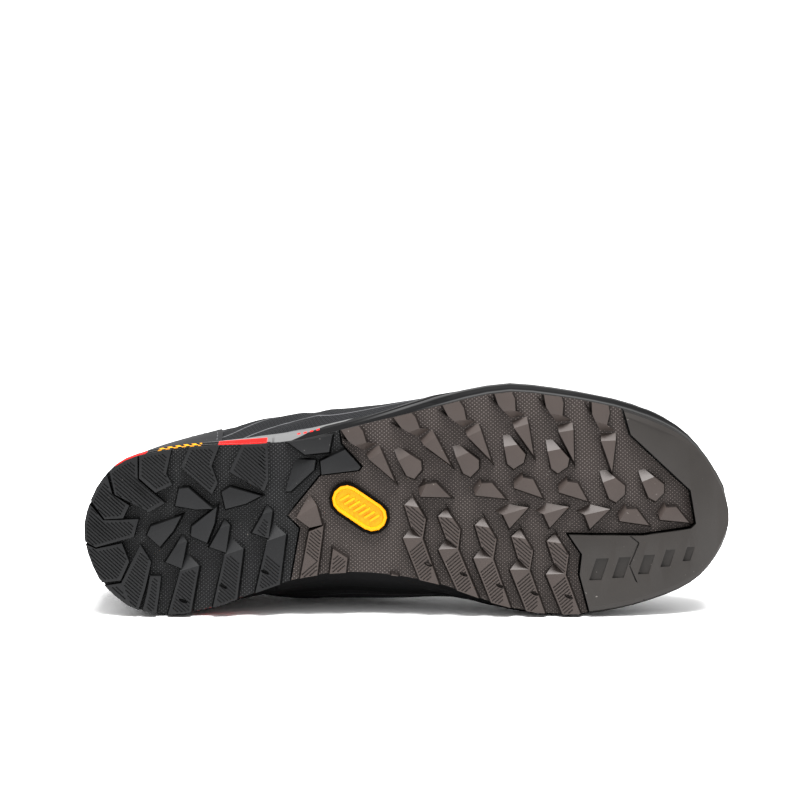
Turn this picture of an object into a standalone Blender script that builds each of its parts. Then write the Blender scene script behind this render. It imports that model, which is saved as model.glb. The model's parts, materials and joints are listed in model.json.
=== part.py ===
"""Right approach shoe, empty, laid on its inner side.

The shoe is drawn standing: +X from heel to toe, +Y towards the inner side of the foot,
+Z up, and the tread's flat spots on z = 0. The last step lays it on its inner side.
All sizes are in metres.
"""

import math
from collections import namedtuple

import bmesh
import bpy
import numpy as np
from mathutils import Matrix, Vector

# Driving sizes of the sole
LENGTH = 0.300
BALL_WIDTH = 0.101
WAIST_WIDTH = 0.0637
HEEL_WIDTH = 0.0764
TOE_SPRING = 0.015
HEEL_SEAT = 0.031
BALL_SEAT = 0.020
TOE_SEAT = 0.027
LUG_HEIGHT = 0.004
LUG_DRAFT = 0.0011
BLOCK_DRAFT = 0.0002
RUBBER = 0.003
TOE_ROUND = 0.003
SEAM = 0.0008
WINDOW_DEPTH = 0.0009
INSERT_THICKNESS = 0.003
INSERT_END = 0.29
RIB_PROUD = 0.0012
BADGE_LENGTH = 0.028
BADGE_WIDTH = 0.0135
BADGE_HEIGHT = 0.0022
BADGE_RIM = 0.0014

# Driving sizes of the upper
WALL = 0.0025
INSTEP_RISE = 0.076
COLLAR_RISE = 0.062
ANKLE_RISE = 0.049
FEATHER_INSET = 0.0022
OVERLAY = 0.0013
RAND = 0.0018
RAND_FOOT = 0.012
TAPER_LEFT = 0.30
TAPER_SPAN = 0.14
INSOLE_THICKNESS = 0.004
TONGUE_THICKNESS = 0.004
TONGUE_PROUD = 0.026
TONGUE_CROWN = 0.002
TONGUE_LIFT = 0.35
LACE_WIDTH = 0.0046
LACE_THICKNESS = 0.0018
EYELET_RADIUS = 0.0040
EYELET_BORE = 0.0022
EYELET_THICKNESS = 0.0009
EYELET_ROWS = 6
EYELET_SIDES = 8
EYELET_LEVEL = 0.895
LOOP_WIDTH = 0.012
LOOP_HEIGHT = 0.013
STRAP = 0.0014

# Clearances
GAP = 0.0003
OVERLAY_CLEARANCE = 0.0005
TONGUE_CLEARANCE = 0.0008
INSOLE_CLEARANCE = 0.0012
LACE_CLEARANCE = 0.0016
LOOP_CLEARANCE = 0.0010
EYELET_CLEARANCE = 0.0001

# Weights that settle how the shoe lies, in kilograms for each cubic metre
RUBBER_DENSITY = 1200
PLASTIC_DENSITY = 1100
FABRIC_DENSITY = 300

# Fineness of the solids
STATIONS = 44
UPPER_COLUMNS = 60
UPPER_ROWS = 10
COLUMN_CROWDING = 0.45

OUTER = -1
INNER = 1

# Ground outline. Columns: along, as a share of the length; outer and inner half width.
OUTLINE = (
    (0.019, 0.247 * HEEL_WIDTH, 0.272 * HEEL_WIDTH),
    (0.047, 0.378 * HEEL_WIDTH, 0.397 * HEEL_WIDTH),
    (0.078, 0.440 * HEEL_WIDTH, 0.476 * HEEL_WIDTH),
    (0.140, 0.488 * HEEL_WIDTH, 0.512 * HEEL_WIDTH),
    (0.200, 0.504 * HEEL_WIDTH, 0.473 * HEEL_WIDTH),
    (0.265, 0.609 * WAIST_WIDTH, 0.466 * WAIST_WIDTH),
    (0.335, 0.634 * WAIST_WIDTH, 0.366 * WAIST_WIDTH),
    (0.400, 0.703 * WAIST_WIDTH, 0.333 * WAIST_WIDTH),
    (0.470, 0.777 * WAIST_WIDTH, 0.356 * WAIST_WIDTH),
    (0.552, 0.546 * BALL_WIDTH, 0.275 * BALL_WIDTH),
    (0.614, 0.588 * BALL_WIDTH, 0.345 * BALL_WIDTH),
    (0.661, 0.605 * BALL_WIDTH, 0.388 * BALL_WIDTH),
    (0.720, 0.587 * BALL_WIDTH, 0.416 * BALL_WIDTH),
    (0.780, 0.556 * BALL_WIDTH, 0.414 * BALL_WIDTH),
    (0.830, 0.520 * BALL_WIDTH, 0.395 * BALL_WIDTH),
    (0.880, 0.466 * BALL_WIDTH, 0.358 * BALL_WIDTH),
    (0.925, 0.397 * BALL_WIDTH, 0.312 * BALL_WIDTH),
    (0.956, 0.314 * BALL_WIDTH, 0.254 * BALL_WIDTH),
    (0.982, 0.204 * BALL_WIDTH, 0.163 * BALL_WIDTH),
    (0.995, 0.110 * BALL_WIDTH, 0.088 * BALL_WIDTH),
)

# How far the midsole's top edge stands out from the ground outline.
# Columns: along; outer and inner, as shares of the ball width.
FLARE = (
    (0.00, -0.010, -0.010),
    (0.10, -0.015, -0.015),
    (0.19, -0.008, -0.005),
    (0.27, 0.022, 0.045),
    (0.35, 0.032, 0.105),
    (0.45, 0.027, 0.115),
    (0.55, 0.020, 0.070),
    (0.65, 0.006, 0.018),
    (0.75, -0.004, -0.008),
    (0.90, -0.010, -0.010),
    (1.00, -0.012, -0.012),
)

# Tread bottom over the ground. Columns: along; lift, as a share of the toe spring.
LIFT = (
    (0.00, 0.34),
    (0.03, 0.16),
    (0.07, 0.03),
    (0.10, 0.00),
    (0.26, 0.00),
    (0.34, 0.05),
    (0.44, 0.09),
    (0.54, 0.04),
    (0.62, 0.00),
    (0.76, 0.00),
    (0.82, 0.09),
    (0.88, 0.27),
    (0.94, 0.57),
    (1.00, 1.00),
)

# Feather line, where the upper meets the midsole. Columns: along; height over the ground.
SEAT = (
    (0.00, 1.04 * HEEL_SEAT),
    (0.10, 1.00 * HEEL_SEAT),
    (0.25, 0.98 * HEEL_SEAT),
    (0.38, 0.88 * HEEL_SEAT),
    (0.50, 1.14 * BALL_SEAT),
    (0.62, 1.00 * BALL_SEAT),
    (0.78, 1.00 * BALL_SEAT),
    (0.90, 0.45 * BALL_SEAT + 0.46 * TOE_SEAT),
    (1.00, 1.00 * TOE_SEAT),
)

# Sections of the upper, one row each, from the back of the heel along the outer side to
# the toe (around 1) and back along the inner side (around 2).
# around      place of the section's foot on the feather line, 0 to 1 to 2
# wall_out    how far its widest point stands out from its foot, share of the ball width
# wall_rise   height of that point over the foot, share of the section's tall
# reach       share of the way from there to the top edge at which the shoulder stands
# shoulder    height of the shoulder over the foot, share of tall
# top_along   place of the top edge, share of the length
# top_across  place of the top edge, share of the ball width
# tall        height of the top edge over the foot
Section = namedtuple(
    "Section", "around wall_out wall_rise reach shoulder top_along top_across tall"
)
SECTIONS = (
    Section(0.000, 0.012, 0.30, 0.90, 0.70, 0.030, 0.010, 1.00 * COLLAR_RISE),
    Section(0.130, 0.018, 0.31, 0.46, 0.72, 0.070, -0.205, 0.96 * COLLAR_RISE),
    Section(0.265, 0.085, 0.40, 0.50, 0.77, 0.165, -0.300, 1.00 * ANKLE_RISE),
    Section(0.355, 0.092, 0.37, 0.50, 0.76, 0.255, -0.300, 1.12 * ANKLE_RISE),
    Section(0.450, 0.055, 0.24, 0.42, 0.64, 0.335, -0.265, 1.00 * INSTEP_RISE),
    Section(0.540, 0.036, 0.21, 0.38, 0.62, 0.430, -0.215, 0.98 * INSTEP_RISE),
    Section(0.640, 0.015, 0.19, 0.36, 0.61, 0.545, -0.185, 0.85 * INSTEP_RISE),
    Section(0.750, -0.004, 0.22, 0.31, 0.66, 0.645, -0.172, 0.71 * INSTEP_RISE),
    Section(0.870, -0.006, 0.26, 0.27, 0.71, 0.700, -0.135, 0.63 * INSTEP_RISE),
    Section(1.000, -0.002, 0.28, 0.20, 0.70, 0.720, -0.065, 0.57 * INSTEP_RISE),
    Section(1.130, -0.012, 0.26, 0.27, 0.71, 0.700, 0.005, 0.63 * INSTEP_RISE),
    Section(1.250, -0.018, 0.22, 0.31, 0.66, 0.645, 0.045, 0.71 * INSTEP_RISE),
    Section(1.360, 0.006, 0.22, 0.34, 0.61, 0.545, 0.085, 0.85 * INSTEP_RISE),
    Section(1.460, 0.055, 0.26, 0.32, 0.62, 0.430, 0.140, 0.98 * INSTEP_RISE),
    Section(1.550, 0.083, 0.30, 0.34, 0.64, 0.335, 0.205, 1.00 * INSTEP_RISE),
    Section(1.645, 0.080, 0.40, 0.46, 0.77, 0.255, 0.280, 1.12 * ANKLE_RISE),
    Section(1.735, 0.030, 0.40, 0.52, 0.77, 0.165, 0.305, 1.00 * ANKLE_RISE),
    Section(1.870, 0.004, 0.31, 0.50, 0.72, 0.070, 0.225, 0.96 * COLLAR_RISE),
)
LEVELS = (0.0, 0.26, 0.62, 1.0)
OUTER_CORNER = 0.450
INNER_CORNER = 1.550
TOE_TIP = 1.0

# Places round the upper where the rand and the counter start and end
RAND_SPAN = (0.596, 1.358)
COUNTER_SPAN = (1.768, 2.232)

# Borders of the outsole's three pieces. Columns: along; across, as a share of the half
# width on that side, so that -1 is the outer edge and 1 the inner edge.
HEEL_BORDER = (
    (0.391, -1.300),
    (0.400, -0.855),
    (0.431, -0.590),
    (0.426, -0.555),
    (0.366, -0.566),
    (0.314, -0.141),
    (0.333, 0.020),
    (0.312, 1.300),
)
TOE_BORDER = (
    (0.817, -1.300),
    (0.844, -0.786),
    (0.937, -0.360),
    (0.945, 0.067),
    (0.938, 0.128),
    (0.863, 0.163),
    (0.745, 0.117),
    (0.766, 0.346),
    (0.762, 0.568),
    (0.787, 1.300),
)

# Lug shapes. Columns: forward and inward, in hundredths of the ball width from the lug's
# own spot; rise, 1 at the lug's face and 0 where a slope meets the tread's floor.
EDGE_BLOCK = (
    (-3.6, -3.0, 1),
    (4.0, -3.0, 1),
    (6.7, 2.8, 1),
    (6.9, 8.3, 1),
    (11.8, 10.4, 0),
    (5.0, 12.0, 0),
    (1.4, 8.3, 1),
    (-0.9, 5.5, 1),
)
EDGE_TOOTH = (
    (5.3, 12.7, 0),
    (12.1, 10.9, 0),
    (12.7, 14.3, 1),
    (14.8, 28.6, 1),
    (6.2, 16.2, 1),
)
LEAF = (
    (-4.6, -17.6, 0),
    (-1.8, -17.6, 0),
    (1.8, -12.9, 1),
    (5.5, -8.3, 1),
    (4.6, -4.6, 1),
    (0.0, -1.8, 1),
    (-2.8, -4.2, 1),
    (-4.2, -12.0, 1),
)
LEAF_FOOT = (
    (0.0, 6.9, 1),
    (0.0, 2.8, 0),
    (4.2, -0.5, 0),
    (4.2, 2.3, 1),
    (8.8, 3.2, 1),
    (12.9, 11.6, 1),
)
CREST = (
    (-8.3, -2.3, 0),
    (-2.3, -5.5, 0),
    (7.4, -3.9, 1),
    (-1.4, 5.5, 1),
    (-4.2, -0.7, 1),
)
FANG = (
    (0.0, 0.0, 0),
    (2.1, 4.9, 1),
    (5.3, 10.6, 1),
    (3.7, 19.4, 1),
    (-1.4, 13.9, 1),
    (-4.4, 3.7, 1),
)
FANG_BAR = (
    (-1.6, 14.6, 0),
    (3.5, 18.9, 1),
    (12.0, 44.0, 1),
    (4.2, 44.0, 1),
    (-5.3, 18.9, 1),
)
HEEL_FANG = (
    (0.0, 0.0, 0),
    (2.8, 3.0, 1),
    (0.7, 15.6, 1),
    (-6.7, 12.9, 1),
    (-1.8, 4.6, 1),
)
HEEL_BAR = (
    (2.6, 8.6, 0),
    (8.8, 13.9, 1),
    (4.4, 44.0, 1),
    (-6.6, 44.0, 1),
    (0.0, 16.8, 1),
)
KITE = (
    (-6.9, -2.3, 1),
    (-3.2, -4.4, 1),
    (10.9, -0.2, 1),
    (3.9, 3.2, 1),
    (-5.3, 5.5, 1),
)
WAIST_FANG = (
    (-0.3, -4.6, 0),
    (3.0, 0.2, 1),
    (5.3, 9.4, 1),
    (-0.4, 10.6, 1),
    (-6.4, 6.0, 1),
)
WAIST_BAR = (
    (-0.6, 12.4, 1),
    (6.0, 9.9, 1),
    (1.6, 40.0, 1),
    (-6.4, 40.0, 1),
)
WAIST_STUB = (
    (-2.3, -8.6, 1),
    (4.2, -4.2, 1),
    (1.6, 16.0, 1),
    (-6.0, 16.0, 1),
)
ARCH_STUB = (
    (-1.2, -5.4, 1),
    (1.6, -4.6, 1),
    (6.0, 12.0, 1),
    (-1.2, 12.0, 1),
    (-4.0, 1.4, 1),
)
WING_BODY = (
    (-14.0, -6.0, 1),
    (6.0, -9.0, 1),
    (4.4, -1.4, 1),
    (-6.6, -0.4, 1),
)
WING_TAIL = (
    (-11.4, 1.8, 0),
    (-6.4, 1.2, 0),
    (-1.8, 2.2, 1),
    (-2.6, 6.6, 1),
    (-13.4, 16.2, 1),
    (-15.8, 16.2, 1),
)
WING_TIP = (
    (0.4, 2.8, 1),
    (12.4, -2.6, 1),
    (19.4, 6.8, 1),
    (0.9, 9.8, 1),
)

# Where the lugs stand. Columns: along; across, -1 to 1 between the edges; turn, in degrees.
EDGE_SPOTS = (
    (0.409, -1.0, -14),
    (0.490, -1.0, -18),
    (0.565, -1.0, -9),
    (0.645, -1.0, 0),
    (0.721, -1.0, 8),
    (0.794, -1.0, 16),
)
LEAF_SPOTS = (
    (0.513, -0.383, -18),
    (0.599, -0.350, -13),
    (0.664, -0.390, 0),
    (0.732, -0.365, -2),
    (0.822, -0.140, -10),
    (0.884, -0.160, -12),
)
CREST_SPOTS = (
    (0.661, -0.061, 0),
    (0.723, -0.063, 0),
    (0.786, -0.050, 4),
)
FANG_SPOTS = (
    (0.510, -0.259, 0),
    (0.561, -0.147, -3),
    (0.618, -0.062, 0),
    (0.674, 0.047, 0),
    (0.728, 0.100, -1),
)
HEEL_FANG_SPOTS = (
    (0.151, 0.054, 3),
    (0.217, -0.127, 0),
    (0.283, -0.286, 0),
)
KITE_SPOTS = (
    (0.167, -0.368, 25),
    (0.238, -0.386, 0),
    (0.122, 0.000, -35),
    (0.186, -0.037, -54),
)
WAIST_SPOT = ((0.350, -0.260, 0),)
STUB_SPOT = ((0.392, 0.880, 0),)
ARCH_SPOT = ((0.478, 1.200, 0),)
WING_SPOT = ((0.366, -0.790, 0),)

# Blocks round the heel's edge. Each row: the two corners at the edge, back and front,
# then the front knee, the two corners of the tip, and the back knee.
# Every corner: along, and across as a share of the heel width.
Block = namedtuple("Block", "edge_back edge_front knee_front tip_front tip_back knee_back")
HEEL_BLOCKS = (
    Block(
        (0.238, -0.501), (0.274, -0.504), (0.271, -0.403),
        (0.287, -0.290), (0.280, -0.226), (0.227, -0.348),
    ),
    Block(
        (0.167, -0.489), (0.208, -0.504), (0.200, -0.385),
        (0.209, -0.281), (0.200, -0.214), (0.153, -0.382),
    ),
    Block(
        (0.095, -0.458), (0.141, -0.486), (0.130, -0.342),
        (0.139, -0.275), (0.113, -0.229), (0.088, -0.318),
    ),
    Block(
        (0.050, -0.379), (0.092, -0.452), (0.086, -0.311),
        (0.127, -0.165), (0.103, -0.113), (0.050, -0.220),
    ),
    Block(
        (0.015, -0.226), (0.045, -0.373), (0.046, -0.220),
        (0.072, -0.153), (0.062, -0.076), (0.033, -0.070),
    ),
    Block(
        (0.001, 0.021), (0.012, -0.202), (0.031, -0.064),
        (0.086, -0.070), (0.078, 0.037), (0.018, 0.101),
    ),
    Block(
        (0.019, 0.281), (0.001, 0.037), (0.018, 0.110),
        (0.059, 0.076), (0.070, 0.189), (0.056, 0.302),
    ),
    Block(
        (0.084, 0.470), (0.024, 0.299), (0.057, 0.318),
        (0.088, 0.085), (0.104, 0.192), (0.094, 0.350),
    ),
    Block(
        (0.109, 0.520), (0.089, 0.490), (0.096, 0.390),
        (0.102, 0.275), (0.119, 0.278), (0.115, 0.390),
    ),
)
BLOCK_OVERSHOOT = 1.16
HEEL_CENTRE = (0.125, 0.0)

# Windows in the toe piece. Columns: along and across of the centre, then the size as a
# share of WINDOW, whose corners go forward and inward in hundredths of the ball width.
WINDOW_SPOTS = (
    (0.793, 0.520, 1.00),
    (0.828, 0.526, 0.95),
    (0.867, 0.537, 0.88),
    (0.901, 0.510, 0.78),
    (0.934, 0.530, 0.64),
)
WINDOW = (
    (-1.1, -5.0),
    (4.6, -5.0),
    (1.0, 4.9),
    (-4.6, 4.9),
)

BADGE_SPOT = (0.426, -0.180)
BADGE_TURN = 35


def monotone(rows, x, column=1):
    """A table's column at x, by a cubic that never overshoots the rows."""
    knots = np.array([row[0] for row in rows])
    values = np.array([row[column] for row in rows])
    steps = np.diff(knots)
    slopes = np.diff(values) / steps
    product = slopes[:-1] * slopes[1:]
    total = np.where(product > 0, slopes[:-1] + slopes[1:], 1.0)
    inner = np.where(product > 0, 2 * product / total, 0.0)
    tangents = np.concatenate([slopes[:1], inner, slopes[-1:]])
    x = np.clip(np.asarray(x, float), knots[0], knots[-1])
    i = np.clip(np.searchsorted(knots, x) - 1, 0, len(knots) - 2)
    return hermite(
        (x - knots[i]) / steps[i], steps[i], values[i], values[i + 1], tangents[i], tangents[i + 1]
    )


def hermite(t, step, start, end, tangent_in, tangent_out):
    """Cubic from start to end, with a tangent for each."""
    return (
        (1 + 2 * t) * (1 - t) ** 2 * start
        + t * (1 - t) ** 2 * step * tangent_in
        + t * t * (3 - 2 * t) * end
        + t * t * (t - 1) * step * tangent_out
    )


def loop_curve(points, per_span=24):
    """Smooth closed curve through the points: a centripetal Catmull-Rom loop."""
    points = np.asarray(points, float)
    count = len(points)
    found = []
    for i in range(count):
        a, b, c, d = (points[(i + k) % count] for k in (-1, 0, 1, 2))
        ta = 0.0
        tb = ta + math.sqrt(np.linalg.norm(b - a))
        tc = tb + math.sqrt(np.linalg.norm(c - b))
        td = tc + math.sqrt(np.linalg.norm(d - c))
        for t in np.linspace(tb, tc, per_span, endpoint=False):
            ab = ((tb - t) * a + (t - ta) * b) / (tb - ta)
            bc = ((tc - t) * b + (t - tb) * c) / (tc - tb)
            cd = ((td - t) * c + (t - tc) * d) / (td - tc)
            abc = ((tc - t) * ab + (t - ta) * bc) / (tc - ta)
            bcd = ((td - t) * bc + (t - tb) * cd) / (td - tb)
            found.append(((tc - t) * abc + (t - tb) * bcd) / (tc - tb))
    return np.array(found)


def outline_sides():
    """The ground outline's two sides as (x, half width) curves from heel to toe."""
    outer = [(along * LENGTH, -width) for along, width, _ in OUTLINE]
    inner = [(along * LENGTH, width) for along, _, width in reversed(OUTLINE)]
    curve = loop_curve([(0.0, 0.0)] + outer + [(LENGTH, 0.0)] + inner)
    toe = int(np.argmax(curve[:, 0]))
    first = curve[: toe + 1]
    second = np.vstack([curve[toe:], curve[:1]])[::-1]
    return {OUTER: np.abs(first), INNER: np.abs(second)}


SIDES = outline_sides()


def half_width(side, along):
    """Ground half width on one side."""
    table = SIDES[side]
    return np.interp(np.asarray(along) * LENGTH, table[:, 0], table[:, 1])


def feather_width(side, along):
    """Half width of the midsole's top on one side."""
    flare = monotone(FLARE, along, 1 if side == OUTER else 2) * BALL_WIDTH
    return half_width(side, along) + flare


def lift(x):
    return monotone(LIFT, x / LENGTH) * TOE_SPRING


def seat(x):
    return monotone(SEAT, x / LENGTH)


def spot(along, across):
    """Plan point from an along share and a share of the half width on that side."""
    side = OUTER if across < 0 else INNER
    return np.array([along * LENGTH, across * half_width(side, along)])


def stations(count, start=0.0, end=1.0):
    """Along shares, crowded towards both ends of the stretch."""
    ends = 0.0007
    angle = np.linspace(0.0, math.pi, count)
    share = 0.5 - 0.5 * np.cos(angle)
    return start + (end - start) * np.clip(share, ends, 1 - ends)


def feather_ring():
    """Dense loop of the upper's foot, with its outward normals and its arc shares."""
    along = stations(240)
    outer = np.column_stack([along * LENGTH, -feather_width(OUTER, along) + FEATHER_INSET])
    inner = np.column_stack([along * LENGTH, feather_width(INNER, along) - FEATHER_INSET])[::-1]
    outer[:, 1] = np.minimum(outer[:, 1], 0.0)
    inner[:, 1] = np.maximum(inner[:, 1], 0.0)
    heel = np.array([[FEATHER_INSET, 0.0]])
    toe = np.array([[LENGTH - FEATHER_INSET, 0.0]])
    outer = np.vstack([heel, outer[1:-1], toe])
    inner = np.vstack([toe, inner[1:-1], heel])
    shares = []
    for half, side in enumerate((outer, inner)):
        side[:, 0] = np.clip(side[:, 0], FEATHER_INSET, LENGTH - FEATHER_INSET)
        arc = np.concatenate([[0.0], np.cumsum(np.linalg.norm(np.diff(side, axis=0), axis=1))])
        shares.append(half + arc / arc[-1])
    even = np.linspace(0.0, 2.0, 481)[:-1]
    points = np.vstack([outer, inner[1:]])
    around = np.concatenate([shares[0], shares[1][1:]])
    ring = np.column_stack([np.interp(even, around, points[:, k]) for k in (0, 1)])
    for _ in range(3):
        ring = (np.roll(ring, 1, axis=0) + 2 * ring + np.roll(ring, -1, axis=0)) / 4
    tangent = np.roll(ring, -1, axis=0) - np.roll(ring, 1, axis=0)
    tangent /= np.linalg.norm(tangent, axis=1)[:, None]
    normal = np.column_stack([tangent[:, 1], -tangent[:, 0]])
    return even, ring, normal


RING = feather_ring()


def on_ring(around):
    """Point and outward normal on the upper's foot."""
    even, ring, normal = RING
    around = np.mod(around, 2.0)
    values = [
        np.interp(around, even, table[:, k], period=2.0) for table in (ring, normal) for k in (0, 1)
    ]
    return np.stack(values[:2], -1), np.stack(values[2:], -1)


def section_value(name, around):
    """One column of the sections, smooth all the way round."""
    knots = np.array([section.around for section in SECTIONS])
    values = np.array([getattr(section, name) for section in SECTIONS])
    knots = np.concatenate([[knots[-1] - 2.0], knots, knots[:2] + 2.0])
    values = np.concatenate([values[-1:], values, values[:2]])
    around = np.mod(around, 2.0)
    i = np.clip(np.searchsorted(knots, around, side="right") - 1, 1, len(knots) - 3)
    slope = (values[2:] - values[:-2]) / (knots[2:] - knots[:-2])
    step = knots[i + 1] - knots[i]
    t = (around - knots[i]) / step
    return hermite(t, step, values[i], values[i + 1], slope[i - 1], slope[i])


def outside(around, level):
    """Point of the upper's outer face. Level runs from 0 at its foot to 1 at its top edge."""
    around, level = np.broadcast_arrays(np.asarray(around, float), np.asarray(level, float))
    foot, normal = on_ring(around)
    tall = section_value("tall", around)
    base = seat(foot[..., 0]) + GAP
    wall = foot + normal * (section_value("wall_out", around) * BALL_WIDTH)[..., None]
    top = np.stack(
        [
            section_value("top_along", around) * LENGTH,
            section_value("top_across", around) * BALL_WIDTH,
        ],
        -1,
    )
    shoulder = wall + (top - wall) * section_value("reach", around)[..., None]
    heights = (
        base,
        base + section_value("wall_rise", around) * tall,
        base + section_value("shoulder", around) * tall,
        base + tall,
    )
    nodes = [
        np.concatenate([plan, height[..., None]], -1)
        for plan, height in zip((foot, wall, shoulder, top), heights)
    ]
    knots = np.array(LEVELS)
    slopes = [(nodes[1] - nodes[0]) / (knots[1] - knots[0])]
    for k in (1, 2):
        slopes.append((nodes[k + 1] - nodes[k - 1]) / (knots[k + 1] - knots[k - 1]))
    slopes.append((nodes[3] - nodes[2]) / (knots[3] - knots[2]))
    found = np.zeros(nodes[0].shape)
    for k in range(3):
        step = knots[k + 1] - knots[k]
        t = ((level - knots[k]) / step)[..., None]
        piece = hermite(t, step, nodes[k], nodes[k + 1], slopes[k], slopes[k + 1])
        inside = (level >= knots[k]) & ((level <= knots[k + 1]) if k == 2 else (level < knots[k + 1]))
        found = np.where(inside[..., None], piece, found)
    return found


def skin(around, level, out=0.0):
    """Outer face of the upper, moved out along its normal. At the foot the move is level."""
    around, level = np.broadcast_arrays(np.asarray(around, float), np.asarray(level, float))
    step = 0.004
    low = np.clip(level - step, 0.0, 1.0)
    high = np.clip(level + step, 0.0, 1.0)
    forward = outside(around + step, level) - outside(around - step, level)
    upward = outside(around, high) - outside(around, low)
    normal = np.cross(forward, upward)
    normal[..., 2] *= np.clip(level / 0.12, 0.0, 1.0)
    normal /= np.linalg.norm(normal, axis=-1)[..., None]
    return outside(around, level) + normal * np.asarray(out)[..., None]


def turned(points, degrees, centre):
    """Plan points turned about the origin, then moved to a centre."""
    angle = math.radians(degrees)
    matrix = np.array([[math.cos(angle), -math.sin(angle)], [math.sin(angle), math.cos(angle)]])
    return np.asarray(points) @ matrix.T + centre


def counterclockwise(points):
    area = sum(
        a[0] * b[1] - b[0] * a[1] for a, b in zip(points, np.roll(points, -1, axis=0))
    )
    return area > 0


def offset_corners(points, distances, closed=True):
    """Each side moved to the right of its direction, by its own distance, and joined again."""
    points = np.asarray(points, float)
    count = len(points)
    found = []
    for i in range(count):
        before = i - 1 if closed or i > 0 else 0
        after = i if closed or i < count - 1 else count - 2
        lines = []
        for k in (before, after):
            start = points[k]
            way = points[(k + 1) % count] - start
            way /= np.linalg.norm(way)
            side = np.array([way[1], -way[0]])
            lines.append((start + side * distances[k % len(distances)], way))
        (p, u), (q, v) = lines
        cross = u[0] * v[1] - u[1] * v[0]
        if abs(cross) < 0.05:
            found.append(points[i] + (q - points[(after) % count]))
        else:
            t = ((q - p)[0] * v[1] - (q - p)[1] * v[0]) / cross
            found.append(p + u * t)
    return np.array(found)


def new_object(name, build):
    """An object from a fresh bmesh that build fills."""
    mesh = bpy.data.meshes.new(name)
    edit = bmesh.new()
    build(edit)
    bmesh.ops.recalc_face_normals(edit, faces=edit.faces)
    edit.to_mesh(mesh)
    edit.free()
    obj = bpy.data.objects.new(name, mesh)
    bpy.context.scene.collection.objects.link(obj)
    return obj


def add_loft(edit, sections, closed=False):
    """Skin over sections of equal count, with its two ends filled unless it closes on itself."""
    rings = [[edit.verts.new(point) for point in section] for section in sections]
    count = len(rings[0])
    pairs = list(zip(rings, rings[1:]))
    if closed:
        pairs.append((rings[-1], rings[0]))
    for ring, after in pairs:
        for k in range(count):
            n = (k + 1) % count
            edit.faces.new((ring[k], ring[n], after[n], after[k]))
    if not closed:
        edit.faces.new(rings[0][::-1])
        edit.faces.new(rings[-1])


def loft(name, sections, closed=False):
    return new_object(name, lambda edit: add_loft(edit, sections, closed))


def prism(name, corners, bottom, top):
    """Upright prism over plan corners."""
    levels = [[(x, y, z) for x, y in corners] for z in (bottom, top)]
    return loft(name, levels)


def combine(target, tool, operation):
    """Boolean of two closed objects, applied, with the tool removed."""
    modifier = target.modifiers.new(operation, "BOOLEAN")
    modifier.operation = operation
    modifier.solver = "MANIFOLD"
    modifier.object = tool
    graph = bpy.context.evaluated_depsgraph_get()
    mesh = bpy.data.meshes.new_from_object(target.evaluated_get(graph))
    target.modifiers.clear()
    target.data = mesh
    bpy.data.objects.remove(tool)


def place_lug(shape, along, across, turn):
    """A lug's plan corners and rises where it stands."""
    corners = [(forward, inward) for forward, inward, _ in shape]
    plan = turned(np.array(corners) * BALL_WIDTH / 100, turn, spot(along, across))
    return plan, [rise for _, _, rise in shape]


def add_lug(edit, plan, rises, draft=LUG_DRAFT, sunk=0.0012):
    """One lug: a drafted face at tread level, with slopes down to its low corners."""
    if not counterclockwise(plan):
        plan = plan[::-1]
        rises = rises[::-1]
    drafts = [draft if a and b else 0.0 for a, b in zip(rises, rises[1:] + rises[:1])]
    feet = offset_corners(plan, drafts)
    base = [edit.verts.new((x, y, lift(x) + LUG_HEIGHT + sunk)) for x, y in feet]
    face = [
        edit.verts.new((x, y, lift(x) + (0.0 if rise else LUG_HEIGHT + 0.3 * sunk)))
        for (x, y), rise in zip(plan, rises)
    ]
    count = len(face)
    edit.faces.new(base)
    edit.faces.new([vertex for vertex, rise in zip(face, rises) if rise])
    for k in range(count):
        n = (k + 1) % count
        edit.faces.new((base[k], face[k], face[n], base[n]))
    for k in range(count):
        if rises[k] and not rises[(k + 1) % count]:
            slope = [face[k]]
            n = (k + 1) % count
            while not rises[n]:
                slope.append(face[n])
                n = (n + 1) % count
            slope.append(face[n])
            edit.faces.new(slope)
    bmesh.ops.triangulate(edit, faces=edit.faces)


def add_lugs(sole, *groups):
    """Joins lugs to a piece of the sole, one by one. Each group is a shape and its spots."""
    for shape, spots in groups:
        for along, across, turn in spots:
            plan, rises = place_lug(shape, along, across, turn)
            lug = new_object("lug", lambda edit: add_lug(edit, plan, rises))
            combine(sole, lug, "UNION")


def add_heel_blocks(sole):
    """The blocks round the heel's edge, run out past it and later cut back to the outline."""
    centre = np.array([HEEL_CENTRE[0] * LENGTH, HEEL_CENTRE[1] * HEEL_WIDTH])
    for block in HEEL_BLOCKS:
        plan = np.array(block) * (LENGTH, HEEL_WIDTH)
        plan[:2] = centre + (plan[:2] - centre) * BLOCK_OVERSHOOT
        rises = [1] * len(plan)
        lug = new_object("block", lambda edit: add_lug(edit, plan, rises, draft=BLOCK_DRAFT))
        combine(sole, lug, "UNION")


def slab(name, bottom, top, start=0.0, end=1.0, width=None):
    """Sole layer between two height functions of x. Without a width it overhangs the outline."""
    sections = []
    for along in stations(STATIONS, start, end):
        x = along * LENGTH
        sides = [BALL_WIDTH if width is None else width(side, along) for side in (OUTER, INNER)]
        sections.append(
            (
                (x, -sides[0], bottom(x)),
                (x, sides[1], bottom(x)),
                (x, sides[1], top(x)),
                (x, -sides[0], top(x)),
            )
        )
    return loft(name, sections)


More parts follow.
